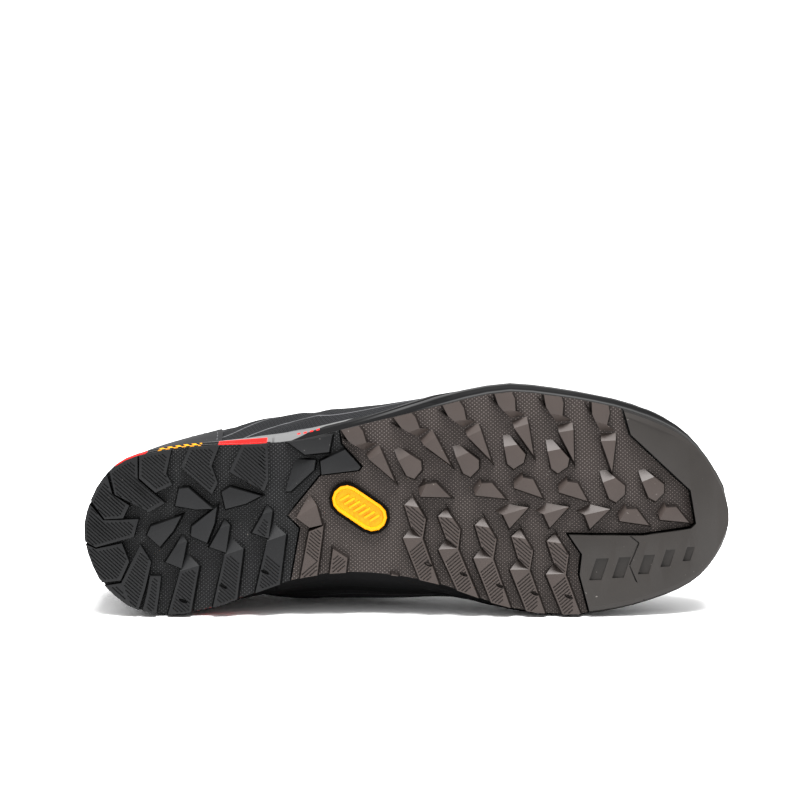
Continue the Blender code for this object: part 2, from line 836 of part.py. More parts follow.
def outline_prism(rounding=0.0):
    """The ground outline as an upright solid, its lower edge rounded off if asked."""
    sections = []
    for along in stations(STATIONS):
        x = along * LENGTH
        outer, inner = (half_width(side, along) for side in (OUTER, INNER))
        low = lift(x) - (0.0 if rounding else LUG_HEIGHT)
        cut = min(rounding, 0.6 * outer, 0.6 * inner)
        sections.append(
            (
                (x, -outer + cut, low),
                (x, inner - cut, low),
                (x, inner - 0.3 * cut, low + 0.3 * rounding),
                (x, inner, low + rounding),
                (x, inner, low + 4 * LUG_HEIGHT),
                (x, -outer, low + 4 * LUG_HEIGHT),
                (x, -outer, low + rounding),
                (x, -outer + 0.3 * cut, low + 0.3 * rounding),
            )
            if rounding
            else (
                (x, -outer, low),
                (x, inner, low),
                (x, inner, low + 5 * LUG_HEIGHT),
                (x, -outer, low + 5 * LUG_HEIGHT),
            )
        )
    return loft("outline", sections)


def region(heel_side=None, toe_side=None):
    """Upright prism over the sole between two border lines, each set back by half a seam."""
    back = -0.1 * LENGTH
    front = 1.1 * LENGTH
    far = 2 * BALL_WIDTH
    corners = []
    if heel_side is None:
        corners += [(back, far), (back, -far)]
    else:
        line = [spot(*row) for row in heel_side]
        corners += list(offset_corners(line, [SEAM / 2] * len(line), closed=False)[::-1])
    if toe_side is None:
        corners += [(front, -far), (front, far)]
    else:
        line = [spot(*row) for row in toe_side]
        corners += list(offset_corners(line, [-SEAM / 2] * len(line), closed=False))
    return prism("region", corners, -0.05, 0.10)


def floor_of_tread(x):
    return lift(x) + LUG_HEIGHT


def top_of_rubber(x):
    return lift(x) + LUG_HEIGHT + RUBBER


def stadium(length, width, count=7):
    """Plan outline with straight sides and round ends."""
    radius = width / 2
    reach = length / 2 - radius
    corners = []
    for side, middle in ((reach, 0.0), (-reach, 180.0)):
        for angle in np.linspace(-90.0, 90.0, count):
            turn = math.radians(angle + middle)
            corners.append((side + radius * math.cos(turn), radius * math.sin(turn)))
    return np.array(corners)


def badge_solid(name, grow, bottom, top):
    plan = turned(
        stadium(BADGE_LENGTH + 2 * grow, BADGE_WIDTH + 2 * grow), BADGE_TURN, spot(*BADGE_SPOT)
    )
    middle = BADGE_SPOT[0] * LENGTH
    return prism(name, plan, floor_of_tread(middle) + bottom, floor_of_tread(middle) + top)


def outsole_heel():
    sole = slab("outsole_heel", floor_of_tread, top_of_rubber, 0.0, 0.46)
    add_heel_blocks(sole)
    add_lugs(
        sole,
        (HEEL_FANG, HEEL_FANG_SPOTS),
        (HEEL_BAR, HEEL_FANG_SPOTS),
        (KITE, KITE_SPOTS),
        (WING_BODY, WING_SPOT),
        (WING_TAIL, WING_SPOT),
        (WING_TIP, WING_SPOT),
    )
    combine(sole, outline_prism(), "INTERSECT")
    combine(sole, region(toe_side=HEEL_BORDER), "INTERSECT")
    return sole


def outsole_main():
    sole = slab("outsole_main", floor_of_tread, top_of_rubber, 0.28, 0.98)
    add_lugs(
        sole,
        (EDGE_BLOCK, EDGE_SPOTS),
        (EDGE_TOOTH, EDGE_SPOTS),
        (LEAF, LEAF_SPOTS),
        (LEAF_FOOT, LEAF_SPOTS),
        (CREST, CREST_SPOTS),
        (FANG, FANG_SPOTS),
        (FANG_BAR, FANG_SPOTS),
        (WAIST_FANG, WAIST_SPOT),
        (WAIST_BAR, WAIST_SPOT),
        (WAIST_STUB, STUB_SPOT),
        (ARCH_STUB, ARCH_SPOT),
    )
    combine(sole, badge_solid("rim", BADGE_RIM, -BADGE_HEIGHT, 0.001), "UNION")
    combine(sole, badge_solid("pocket", GAP, -0.01, 0.0005), "DIFFERENCE")
    combine(sole, outline_prism(), "INTERSECT")
    combine(sole, region(HEEL_BORDER, TOE_BORDER), "INTERSECT")
    return sole


def outsole_toe():
    sole = outline_prism(TOE_ROUND)
    sole.name = "outsole_toe"
    cap = slab("cap", lambda x: lift(x) - 0.02, top_of_rubber, 0.5, 1.2)
    combine(sole, cap, "INTERSECT")
    combine(sole, region(heel_side=TOE_BORDER), "INTERSECT")
    for along, across, size in WINDOW_SPOTS:
        plan, _ = place_lug([(a * size, b * size, 1) for a, b in WINDOW], along, across, 0)
        x = along * LENGTH
        combine(sole, prism("window", plan, lift(x) - 0.01, lift(x) + WINDOW_DEPTH), "DIFFERENCE")
    return sole


def badge():
    return badge_solid("sole_badge", 0.0, -BADGE_HEIGHT + 0.0004, 0.0005 - GAP)


def heel_insert():
    def bottom(x):
        return top_of_rubber(x) + GAP

    def top(x):
        return bottom(x) + INSERT_THICKNESS

    def width(side, along):
        return half_width(side, along) + 0.3 * RIB_PROUD

    return slab("heel_insert", bottom, top, 0.0, INSERT_END, width)


def midsole():
    """Foam layer from the rubber to the feather line, flared at the arch, with a side rib."""
    sections = []
    step = INSERT_END + 0.002
    for along in sorted([*stations(STATIONS), step, step + 0.004]):
        x = along * LENGTH
        low = top_of_rubber(x) + GAP
        if along <= step:
            low += INSERT_THICKNESS + GAP
        high = seat(x)
        sides = []
        for side in (OUTER, INNER):
            foot = half_width(side, along)
            edge = max(feather_width(side, along), 0.6 * foot)
            profile = []
            for share, proud in ((0.0, 0.0), (0.22, 1.0), (0.50, 1.0), (0.62, 0.0), (1.0, 0.0)):
                reach = foot + (edge - foot) * share ** 0.8 + min(RIB_PROUD, 0.3 * foot) * proud
                profile.append((x, side * reach, low + (high - low) * share))
            sides.append(profile)
        sections.append(sides[0][::-1] + sides[1])
    return loft("midsole", sections)


def insole():
    """Footbed on the midsole, clear of the upper's wall all round."""
    _, ring, normal = RING
    edge = ring - normal * (WALL + INSOLE_CLEARANCE)
    start = edge[:, 0].min()
    end = edge[:, 0].max()
    heel = int(np.argmin(edge[:, 0]))
    edge = np.roll(edge, -heel, axis=0)
    toe = int(np.argmax(edge[:, 0]))
    sides = {OUTER: edge[: toe + 1], INNER: np.vstack([edge[toe:], edge[:1]])[::-1]}

    def bottom(x):
        return seat(x) + GAP

    def top(x):
        return seat(x) + GAP + INSOLE_THICKNESS

    def width(side, along):
        table = sides[side]
        return side * np.interp(along * LENGTH, table[:, 0], table[:, 1])

    return slab("insole", bottom, top, start / LENGTH, end / LENGTH, width)


def grid_shell(name, around, levels, inner, outer, closed):
    """Solid between two larger forms of the upper, over a grid of places round it and levels."""
    faces = [skin(around, levels, out) for out in (outer, inner)]
    rows, columns = around.shape[1], around.shape[0]

    def build(edit):
        grids = [
            [[edit.verts.new(faces[k][i, j]) for j in range(rows)] for i in range(columns)]
            for k in (0, 1)
        ]
        spans = columns if closed else columns - 1
        for i in range(spans):
            n = (i + 1) % columns
            for j in range(rows - 1):
                for grid, turned_over in zip(grids, (False, True)):
                    start, far = grid[i][j], grid[n][j + 1]
                    beside = (grid[n][j], grid[i][j + 1])
                    first, last = beside[::-1] if turned_over else beside
                    edit.faces.new((start, first, far, last))
            for j in (0, rows - 1):
                edit.faces.new((grids[0][i][j], grids[0][n][j], grids[1][n][j], grids[1][i][j]))
        if not closed:
            for i in (0, columns - 1):
                for j in range(rows - 1):
                    edit.faces.new(
                        (grids[0][i][j], grids[0][i][j + 1], grids[1][i][j + 1], grids[1][i][j])
                    )

    return new_object(name, build)


def upper_columns():
    """Places of the upper's columns round it, crowded at the heel and the toe."""
    even = np.linspace(0.0, 2.0, UPPER_COLUMNS, endpoint=False)
    return even - COLUMN_CROWDING * np.sin(2 * math.pi * even) / (2 * math.pi)


def thinned(share):
    """Share of a moulded overlay's thickness, less towards its two ends."""
    return TAPER_LEFT + (1.0 - TAPER_LEFT) * min(1.0, share / TAPER_SPAN, (1.0 - share) / TAPER_SPAN)


def patch(name, start, end, low, high, thickness, rows, taper=lambda share: 1.0):
    """Overlay on the upper between two places round it, on the upper's own columns.

    Low and high give its lower and upper level from its share of the way round.
    """
    columns = np.concatenate([upper_columns(), upper_columns() + 2.0])
    apart = 0.3 * 2.0 / UPPER_COLUMNS
    between = columns[(columns > start + apart) & (columns < end - apart)]
    around = np.concatenate([[start], between, [end]])
    share = (around - start) / (end - start)
    bottom = np.array([low(s) for s in share])
    top = np.array([high(s) for s in share])
    up = np.linspace(0.0, 1.0, rows)
    levels = bottom[:, None] + (top - bottom)[:, None] * up[None, :]
    places = np.repeat(around[:, None], rows, axis=1)
    thick = thickness * np.array([taper(s) for s in share])[:, None]
    return grid_shell(
        name, places, levels, OVERLAY_CLEARANCE, OVERLAY_CLEARANCE + thick, False
    )


def upper():
    levels = np.linspace(0.0, 1.0, UPPER_ROWS)
    places, heights = np.meshgrid(upper_columns(), levels, indexing="ij")
    return grid_shell("upper", places, heights, -WALL, 0.0, True)


def bump(share):
    """0 at both ends, 1 in the middle."""
    return math.sin(math.pi * share) ** 0.7


def toe_rand():
    return patch(
        "toe_rand", *RAND_SPAN, lambda s: RAND_FOOT, lambda s: 0.16 + 0.20 * bump(s), RAND, 4,
        thinned,
    )


def heel_counter():
    return patch(
        "heel_counter", *COUNTER_SPAN, lambda s: 0.0, lambda s: 0.26 + 0.28 * bump(s), OVERLAY, 6,
        thinned,
    )


def eyestay():
    return patch(
        "eyestay", OUTER_CORNER + 0.012, INNER_CORNER - 0.012, lambda s: 0.80, lambda s: 0.985,
        OVERLAY, 3,
    )


def collar_cuff():
    return patch(
        "collar_cuff", INNER_CORNER, OUTER_CORNER + 2.0, lambda s: 0.84, lambda s: 0.985,
        OVERLAY, 3,
    )


def throat(share, side):
    """Place round the upper of a point on one edge of the throat, 0 at its toe end."""
    corner = OUTER_CORNER if side == OUTER else INNER_CORNER
    start = TOE_TIP + side * 0.05
    return start + (corner - start) * share


def tongue_section(share):
    """Cross-section of the tongue under the throat: its outer face, then its inner face."""
    depth = WALL + TONGUE_CLEARANCE
    top = []
    for side, level in ((OUTER, 0.84), (OUTER, 0.93), (OUTER, 0.995)):
        top.append(skin(throat(share, side), level, -depth))
    for side, level in ((INNER, 0.995), (INNER, 0.93), (INNER, 0.84)):
        top.append(skin(throat(share, side), level, -depth))
    middle = (top[2] + top[3]) / 2
    across = top[3] - top[2]
    up = np.cross(np.array([1.0, 0.0, 0.0]), across)
    up /= np.linalg.norm(up)
    top.insert(3, middle + up * TONGUE_CROWN)
    lower = []
    for k, point in enumerate(top):
        before = top[max(k - 1, 0)]
        after = top[min(k + 1, len(top) - 1)]
        way = after - before
        normal = np.cross(np.array([1.0, 0.0, 0.0]), way)
        normal /= np.linalg.norm(normal)
        edge = 0.5 if k in (0, len(top) - 1) else 1.0
        lower.append(point - normal * TONGUE_THICKNESS * edge)
    return top + lower[::-1]


def tongue():
    sections = [tongue_section(share) for share in np.linspace(0.06, 1.0, 11)]
    last = np.array(sections[-1])
    way = last - np.array(sections[-2])
    way = way.mean(axis=0)
    way /= np.linalg.norm(way)
    way[2] += TONGUE_LIFT
    centre = last.mean(axis=0)
    for share, width in ((0.22, 0.86), (0.60, 0.84), (0.90, 0.74), (1.0, 0.60)):
        moved = centre + (last - centre) * (1.0, width, 1.0) + way * TONGUE_PROUD * share
        sections.append([tuple(point) for point in moved])
    return loft("tongue", sections)


def sweep(points, normals, width, thickness):
    """Sections of a flat strap along a path. The normals face out of the strap."""
    points = np.asarray(points)
    ways = np.gradient(points, axis=0)
    sections = []
    for point, way, normal in zip(points, ways, normals):
        way = way / np.linalg.norm(way)
        side = np.cross(way, normal)
        side /= np.linalg.norm(side)
        up = np.cross(side, way)
        sections.append(
            [
                point + side * width / 2 * a + up * thickness / 2 * b
                for a, b in ((1, 1), (-1, 1), (-1, -1), (1, -1))
            ]
        )
    return sections


def through(points, count):
    """Smooth open curve through a few points."""
    points = np.asarray(points, float)
    knots = np.linspace(0.0, 1.0, len(points))
    rows = [(knot, *point) for knot, point in zip(knots, points)]
    at = np.linspace(0.0, 1.0, count)
    slopes = np.gradient(points, knots, axis=0)
    i = np.clip(np.searchsorted(knots, at, side="right") - 1, 0, len(rows) - 2)
    step = knots[1]
    t = ((at - knots[i]) / step)[:, None]
    return hermite(t, step, points[i], points[i + 1], slopes[i], slopes[i + 1])


def eyelet_share(row):
    """Place of an eyelet row along the throat, 0 at the toe end."""
    return 0.10 + 0.84 * row / (EYELET_ROWS - 1)


def eyelet_height():
    return OVERLAY_CLEARANCE + OVERLAY + GAP


def lace_height():
    return eyelet_height() + EYELET_THICKNESS + LACE_CLEARANCE + LACE_THICKNESS / 2


def lace_run(start, end):
    """One crossing from an eyelet on the outer side to one on the inner side."""
    high = lace_height()
    first = (throat(start, OUTER), throat(end, INNER))
    quarter = (
        throat(start + 0.25 * (end - start), OUTER),
        throat(start + 0.75 * (end - start), INNER),
    )
    middle = start + 0.5 * (end - start)
    edges = [skin(throat(middle, side), 0.985, high) for side in (OUTER, INNER)]
    points = [
        skin(first[0], EYELET_LEVEL, high),
        skin(quarter[0], 0.975, high),
        (edges[0] + edges[1]) / 2 + np.array([0.0, 0.0, TONGUE_CROWN]),
        skin(quarter[1], 0.975, high),
        skin(first[1], EYELET_LEVEL, high),
    ]
    path = through(points, 7)
    across = np.gradient(path, axis=0)
    normals = [np.cross(np.array([1.0, 0.0, 0.0]), way) for way in across]
    return sweep(path, normals, LACE_WIDTH, LACE_THICKNESS)


def lace_crossings():
    """Flat lace: a bar at the toe end, then crossings up to the top eyelets, all one piece."""
    rows = [eyelet_share(row) for row in range(EYELET_ROWS)]
    runs = [(rows[0], rows[0])]
    for low, high in zip(rows, rows[1:]):
        runs += [(low, high), (high, low)]
    lace = loft("lace_crossings", lace_run(*runs[0]))
    for run in runs[1:]:
        combine(lace, loft("run", lace_run(*run)), "UNION")
    return lace


def eyelet(name, share, side):
    """Flat ring on the eyestay."""
    around = throat(share, side)
    centre = skin(around, EYELET_LEVEL, eyelet_height())
    out = skin(around, EYELET_LEVEL, 0.01) - skin(around, EYELET_LEVEL, 0.0)
    normal = Vector(out).normalized()
    across = normal.orthogonal().normalized()
    along = normal.cross(across)
    sections = []
    for k in range(EYELET_SIDES):
        angle = 2 * math.pi * k / EYELET_SIDES
        way = across * math.cos(angle) + along * math.sin(angle)
        sections.append(
            [
                Vector(centre) + way * radius + normal * rise
                for radius, rise in (
                    (EYELET_BORE, EYELET_CLEARANCE),
                    (EYELET_RADIUS, EYELET_CLEARANCE),
                    (0.85 * EYELET_RADIUS, EYELET_CLEARANCE + EYELET_THICKNESS),
                    (1.1 * EYELET_BORE, EYELET_CLEARANCE + EYELET_THICKNESS),
                )
            ]
        )
    return loft(name, sections, closed=True)


def pull_loop():
    """Webbing loop that straddles the collar's rim at the back of the heel."""
    half = STRAP / 2
    rim = skin(0.0, 1.0, -WALL / 2)
    outer = [skin(0.0, level, eyelet_height() + half) for level in (0.80, 0.90)]
    inner = [skin(0.0, level, -WALL - GAP - half) for level in (0.96, 0.88)]
    back = outer[1] - rim
    points = [
        outer[0],
        outer[1],
        rim + np.array([back[0] * 1.2, 0.0, 0.35 * LOOP_HEIGHT]),
        rim + np.array([back[0] * 0.6, 0.0, LOOP_HEIGHT]),
        inner[0] + np.array([LOOP_CLEARANCE, 0.0, 0.45 * LOOP_HEIGHT]),
        inner[0] + np.array([LOOP_CLEARANCE, 0.0, 0.0]),
        inner[1] + np.array([LOOP_CLEARANCE, 0.0, 0.0]),
    ]
    path = through(points, 15)
    ways = np.gradient(path, axis=0)
    normals = [np.cross(np.array([0.0, 1.0, 0.0]), way) for way in ways]
    return loft("pull_loop", sweep(path, normals, LOOP_WIDTH, STRAP))


def finish(obj, colour, roughness, sharp=30):
    """Material and shading."""
    material = bpy.data.materials.new(obj.name)
    material.use_nodes = True
    shader = material.node_tree.nodes["Principled BSDF"]
    shader.inputs["Base Color"].default_value = (*colour, 1.0)
    shader.inputs["Roughness"].default_value = roughness
    shader.inputs["Metallic"].default_value = 0.0
    obj.data.materials.clear()
    obj.data.materials.append(material)
    obj.data.shade_smooth()
    obj.data.set_sharp_from_angle(angle=math.radians(sharp))


def volume_and_centre(obj):
    """Volume of a closed mesh and its centre."""
    edit = bmesh.new()
    edit.from_mesh(obj.data)
    bmesh.ops.triangulate(edit, faces=edit.faces)
    total = 0.0
    moment = Vector()
    for face in edit.faces:
        a, b, c = (vertex.co for vertex in face.verts)
        part = a.dot(b.cross(c)) / 6
        total += part
        moment += part * (a + b + c) / 4
    edit.free()
    return total, moment / total


def resting_matrix(weighted):
    """How the shoe lies on its inner side: on the face of its hull under its centre of mass."""
    mass = 0.0
    moment = Vector()
    hull = bmesh.new()
    for obj, density in weighted:
        volume, centre = volume_and_centre(obj)
        mass += volume * density
        moment += volume * density * centre
        for vertex in obj.data.vertices:
            hull.verts.new(vertex.co)
    centre = moment / mass
    bmesh.ops.convex_hull(hull, input=hull.verts)
    hull.normal_update()
    best = None
    for face in hull.faces:
        if len(face.verts) != 3 or face.normal.y < 0.7:
            continue
        reach = (face.verts[0].co - centre).dot(face.normal)
        under = centre + face.normal * reach
        a, b, c = (vertex.co for vertex in face.verts)
        inside = min(
            (q - p).cross(under - p).dot(face.normal) for p, q in ((a, b), (b, c), (c, a))
        )
        if best is None or inside > best[0]:
            best = (inside, face.normal.copy())
    hull.free()
    up = -best[1]
    forward = (Vector((1, 0, 0)) - up * up.x).normalized()
    left = up.cross(forward)
    return Matrix((forward, left, up)).to_4x4()


def lie_down(weighted):
    """Turns every piece into the lying pose and puts the origin at the middle of its base."""
    turn = resting_matrix(weighted)
    for obj, _ in weighted:
        obj.data.transform(turn)
    points = np.array([vertex.co for obj, _ in weighted for vertex in obj.data.vertices])
    low = points.min(axis=0)
    high = points.max(axis=0)
    middle = Vector(((low[0] + high[0]) / 2, (low[1] + high[1]) / 2, low[2]))
    for obj, _ in weighted:
        obj.data.transform(Matrix.Translation(-middle))


def main():
    for obj in list(bpy.data.objects):
        bpy.data.objects.remove(obj)
    pieces = [
        (outsole_heel(), RUBBER_DENSITY, (0.020, 0.021, 0.023), 0.55),
        (outsole_main(), RUBBER_DENSITY, (0.105, 0.090, 0.082), 0.60),
        (outsole_toe(), RUBBER_DENSITY, (0.070, 0.070, 0.062), 0.45),
        (badge(), PLASTIC_DENSITY, (1.0, 0.54, 0.01), 0.40),
        (heel_insert(), PLASTIC_DENSITY, (0.75, 0.03, 0.03), 0.45),
        (midsole(), RUBBER_DENSITY, (0.20, 0.20, 0.20), 0.80),
        (upper(), FABRIC_DENSITY, (0.026, 0.028, 0.030), 0.90),
        (insole(), FABRIC_DENSITY, (0.08, 0.08, 0.08), 0.95),
        (tongue(), FABRIC_DENSITY, (0.035, 0.036, 0.038), 0.90),
        (toe_rand(), RUBBER_DENSITY, (0.04, 0.04, 0.043), 0.60),
        (heel_counter(), PLASTIC_DENSITY, (0.035, 0.035, 0.037), 0.55),
        (eyestay(), PLASTIC_DENSITY, (0.028, 0.028, 0.030), 0.60),
        (collar_cuff(), FABRIC_DENSITY, (0.020, 0.020, 0.022), 0.90),
        (lace_crossings(), FABRIC_DENSITY, (0.05, 0.05, 0.053), 0.90),
        (pull_loop(), FABRIC_DENSITY, (0.04, 0.04, 0.042), 0.90),
    ]
    for side, word in ((OUTER, "outer"), (INNER, "inner")):
        for row in range(EYELET_ROWS):
            ring = eyelet(f"eyelet_{word}_{row + 1}", eyelet_share(row), side)
            pieces.append((ring, PLASTIC_DENSITY, (0.010, 0.010, 0.010), 0.40))
    for obj, _, colour, roughness in pieces:
        finish(obj, colour, roughness)
    lie_down([(obj, density) for obj, density, _, _ in pieces])


main()
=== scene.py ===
"""Looks of a right approach shoe that lies on its inner side, tread towards the camera.

Every piece is dressed in the shoe's own frame: x runs from heel to toe along the sole, y to
the inner side and z up from the ground, as if the shoe stood. Sizes are in metres.
"""

import json
import math
from contextlib import contextmanager

import bmesh
import bpy
from bpy.props import FloatProperty, FloatVectorProperty, IntProperty, PointerProperty
from mathutils import Matrix, Vector
from mathutils.bvhtree import BVHTree
from mathutils.kdtree import KDTree


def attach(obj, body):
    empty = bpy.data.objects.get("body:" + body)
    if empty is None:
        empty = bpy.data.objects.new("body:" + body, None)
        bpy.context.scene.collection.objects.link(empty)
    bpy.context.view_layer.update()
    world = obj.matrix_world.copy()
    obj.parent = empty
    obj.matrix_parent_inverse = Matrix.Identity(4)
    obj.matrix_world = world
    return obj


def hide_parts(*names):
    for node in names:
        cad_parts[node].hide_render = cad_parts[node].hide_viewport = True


bl_info = {
    "name": "Approach shoe",
    "version": (1, 0, 0),
    "blender": (4, 5, 0),
    "location": "3D View > Sidebar > Shoe",
    "description": "Dresses the lying approach shoe: tread, sidewalls, upper, laces and stage",
    "category": "Object",
}

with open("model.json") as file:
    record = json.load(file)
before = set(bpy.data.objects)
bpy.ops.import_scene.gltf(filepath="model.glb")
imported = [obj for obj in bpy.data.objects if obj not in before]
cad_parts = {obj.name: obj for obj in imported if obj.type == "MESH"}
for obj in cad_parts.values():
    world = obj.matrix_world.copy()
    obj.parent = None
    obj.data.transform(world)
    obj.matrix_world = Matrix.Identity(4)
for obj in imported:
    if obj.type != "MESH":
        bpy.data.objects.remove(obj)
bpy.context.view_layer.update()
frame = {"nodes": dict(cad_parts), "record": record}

IMAGE_WIDTH = 800
TREAD_MOUNT = "ball_tread"


def shoe_frame():
    """Matrix from the standing shoe to the lying one, from its tread face and its two ends."""
    mount = next(m for m in frame["record"]["mounts"] if m["name"] == TREAD_MOUNT)
    up = -Vector(mount["axis"]).normalized()
    ends = []
    points = [v.co.copy() for v in frame["nodes"]["midsole"].data.vertices]
    for side in (min, max):
        edge = side(p.x for p in points)
        near = [p for p in points if abs(p.x - edge) < 0.0006]
        ends.append(sum(near, Vector()) / len(near))
    heel, toe = ends
    forward = toe - heel
    forward = (forward - up * forward.dot(up)).normalized()
    left = up.cross(forward)
    drop = (heel - Vector(mount["pos_m"])).dot(up)
    origin = heel - up * drop
    turn = Matrix((forward, left, up)).transposed().to_4x4()
    return Matrix.Translation(origin) @ turn


STAND = shoe_frame()
LIE = STAND.inverted()
UP = STAND.to_3x3() @ Vector((0, 0, 1))


def place(x, y, z):
    """World point of a place on the standing shoe."""
    return STAND @ Vector((x, y, z))


def shoe_points(obj):
    """An object's vertices in the standing shoe's frame."""
    return [LIE @ v.co for v in obj.data.vertices]


def turned_in_plan(angle):
    """World rotation of a shape that lies turned by an angle in the shoe's plan."""
    return (STAND.to_quaternion() @ Matrix.Rotation(angle, 3, "Z").to_quaternion()).to_euler()


SOLE_LENGTH = max(p.x for p in shoe_points(frame["nodes"]["midsole"]))


class TreadSizes(bpy.types.PropertyGroup):
    """Sizes and colours of the tread"""

    edge: FloatProperty(
        name="Lug edge", description="Rounding of the lugs' edges",
        default=0.00032, unit="LENGTH",
    )
    hatch_pitch: FloatProperty(
        name="Hatch pitch", description="Distance between the fine grooves on the lugs",
        default=0.00135, unit="LENGTH",
    )
    hatch_width: FloatProperty(
        name="Hatch width", description="Width of one fine groove",
        default=0.0006, unit="LENGTH",
    )
    hatch_depth: FloatProperty(
        name="Hatch depth", description="Depth of one fine groove",
        default=0.0006, unit="LENGTH",
    )
    hatch_border: FloatProperty(
        name="Hatch border", description="Plain border round the grooves of a heel block",
        default=0.0016, unit="LENGTH",
    )
    dot_pitch: FloatProperty(
        name="Dot pitch", description="Distance between the dots of the tread's floor",
        default=0.0021, unit="LENGTH",
    )
    heel: FloatVectorProperty(
        name="Heel rubber", description="Colour of the heel piece",
        default=(0.0108, 0.0110, 0.0116), subtype="COLOR",
    )
    main: FloatVectorProperty(
        name="Main rubber", description="Colour of the main piece",
        default=(0.048, 0.039, 0.0355), subtype="COLOR",
    )
    toe: FloatVectorProperty(
        name="Toe rubber", description="Colour of the climbing piece at the toe",
        default=(0.0290, 0.0262, 0.0243), subtype="COLOR",
    )


class SideSizes(bpy.types.PropertyGroup):
    """Sizes and colours of the sole's sides"""

    badge: FloatVectorProperty(
        name="Badge", description="Colour of the inlay at the waist",
        default=(0.61, 0.260, 0.003), subtype="COLOR",
    )
    accent: FloatVectorProperty(
        name="Accent", description="Red of the heel's side",
        default=(0.56, 0.012, 0.010), subtype="COLOR",
    )
    foam: FloatVectorProperty(
        name="Foam", description="Grey of the midsole at the heel's side",
        default=(0.12, 0.12, 0.12), subtype="COLOR",
    )
    dark_foam: FloatVectorProperty(
        name="Dark foam", description="Black of the midsole under the arch and the forefoot",
        default=(0.0045, 0.0045, 0.0047), subtype="COLOR",
    )
    grey_end: FloatProperty(
        name="Grey end", description="Where the grey band runs out, from the heel",
        default=0.126, unit="LENGTH",
    )
    mark_pitch: FloatProperty(
        name="Mark pitch", description="Distance between the plain yellow marks on the heel",
        default=0.0038, unit="LENGTH",
    )


class UpperSizes(bpy.types.PropertyGroup):
    """Sizes and colours of the upper, its overlays and laces"""

    fabric: FloatVectorProperty(
        name="Fabric", description="Colour of the upper",
        default=(0.0105, 0.011, 0.012), subtype="COLOR",
    )
    line: FloatVectorProperty(
        name="Line", description="Colour of the thin lines on the quarters",
        default=(0.11, 0.11, 0.115), subtype="COLOR",
    )
    rand: FloatVectorProperty(
        name="Rand", description="Colour of the rubber rand",
        default=(0.019, 0.019, 0.020), subtype="COLOR",
    )
    overlay: FloatVectorProperty(
        name="Overlay", description="Colour of eyestay and counter",
        default=(0.012, 0.012, 0.013), subtype="COLOR",
    )
    lace: FloatVectorProperty(
        name="Lace", description="Colour of the lace",
        default=(0.022, 0.022, 0.024), subtype="COLOR",
    )
    rib_pitch: FloatProperty(
        name="Rib pitch", description="Distance between the rand's ribs",
        default=0.0030, unit="LENGTH",
    )
    rib_depth: FloatProperty(
        name="Rib depth", description="Depth of the troughs between the rand's ribs",
        default=0.0007, unit="LENGTH",
    )
    weave: FloatProperty(
        name="Weave", description="Width of one thread of the fabric",
        default=0.0007, unit="LENGTH",
    )
    stitch: FloatProperty(
        name="Stitch", description="Length of one stitch",
        default=0.0026, unit="LENGTH",
    )


class StageSizes(bpy.types.PropertyGroup):
    """Camera and floor"""

    elevation: FloatProperty(
        name="Elevation", description="Height angle of the camera over the shoe",
        default=math.radians(8.0), subtype="ANGLE",
    )
    distance: FloatProperty(
        name="Distance", description="From the camera to the middle of the tread",
        default=1.2315, unit="LENGTH",
    )
    lens: FloatProperty(
        name="Lens", description="Focal length of the camera", default=120.0,
    )
    tread_column: IntProperty(
        name="Tread column", description="Pixel column of the tread's middle", default=408,
    )
    tread_row: IntProperty(
        name="Tread row", description="Pixel row of the sole's axis", default=526,
    )
    floor: FloatVectorProperty(
        name="Floor", description="Colour of the pale floor",
        default=(0.97, 0.97, 0.97), subtype="COLOR",
    )


def only(obj):
    """Selects one object and makes it the active one."""
    bpy.ops.object.select_all(action="DESELECT")
    obj.select_set(True)
    bpy.context.view_layer.objects.active = obj


def blank(name):
    """A new object with an empty mesh."""
    obj = bpy.data.objects.new(name, bpy.data.meshes.new(name))
    bpy.context.scene.collection.objects.link(obj)
    return obj


@contextmanager
def editing(obj, mode="FACE"):
    """Edit mode on one object with nothing selected. Gives its edit mesh."""
    only(obj)
    bpy.ops.object.mode_set(mode="EDIT")
    bpy.ops.mesh.select_mode(type=mode)
    bpy.ops.mesh.select_all(action="DESELECT")
    yield bmesh.from_edit_mesh(obj.data)
    bpy.ops.object.mode_set(mode="OBJECT")


def pick(obj, elements):
    """Selects faces, edges or vertices of the edit mesh."""
    for element in elements:
        element.select = True
    bmesh.update_edit_mesh(obj.data)


def apply_modifier(obj, kind, **settings):
    """Adds a modifier with its settings and applies it."""
    only(obj)
    modifier = obj.modifiers.new(kind.title(), kind)
    for key, value in settings.items():
        setattr(modifier, key, value)
    bpy.ops.object.modifier_apply(modifier=modifier.name)


def subdivide(obj, levels, kind="CATMULL_CLARK"):
    """Subdivides an object, the same for the view and the render."""
    apply_modifier(obj, "SUBSURF", levels=levels, render_levels=levels, subdivision_type=kind)


def round_edges(obj, width, segments=2, angle=math.radians(30)):
    """Rounds an object's edges that are sharper than an angle."""
    apply_modifier(
        obj, "BEVEL", width=width, segments=segments, limit_method="ANGLE", angle_limit=angle
    )


def smooth(obj, angle):
    """Smooth shading up to an angle in degrees."""
    only(obj)
    bpy.ops.object.shade_smooth_by_angle(angle=math.radians(angle))


def twin(node, name, quads=False):
    """A merged copy of a node's mesh under a new name."""
    source = frame["nodes"][node]
    obj = bpy.data.objects.new(name, source.data.copy())
    bpy.context.scene.collection.objects.link(obj)
    obj.data.materials.clear()
    with editing(obj, "VERT"):
        bpy.ops.mesh.customdata_custom_splitnormals_clear()
        bpy.ops.mesh.select_all(action="SELECT")
        bpy.ops.mesh.remove_doubles(threshold=0.00002)
        if quads:
            limit = math.radians(40)
            bpy.ops.mesh.tris_convert_to_quads(face_threshold=limit, shape_threshold=limit)
    return obj


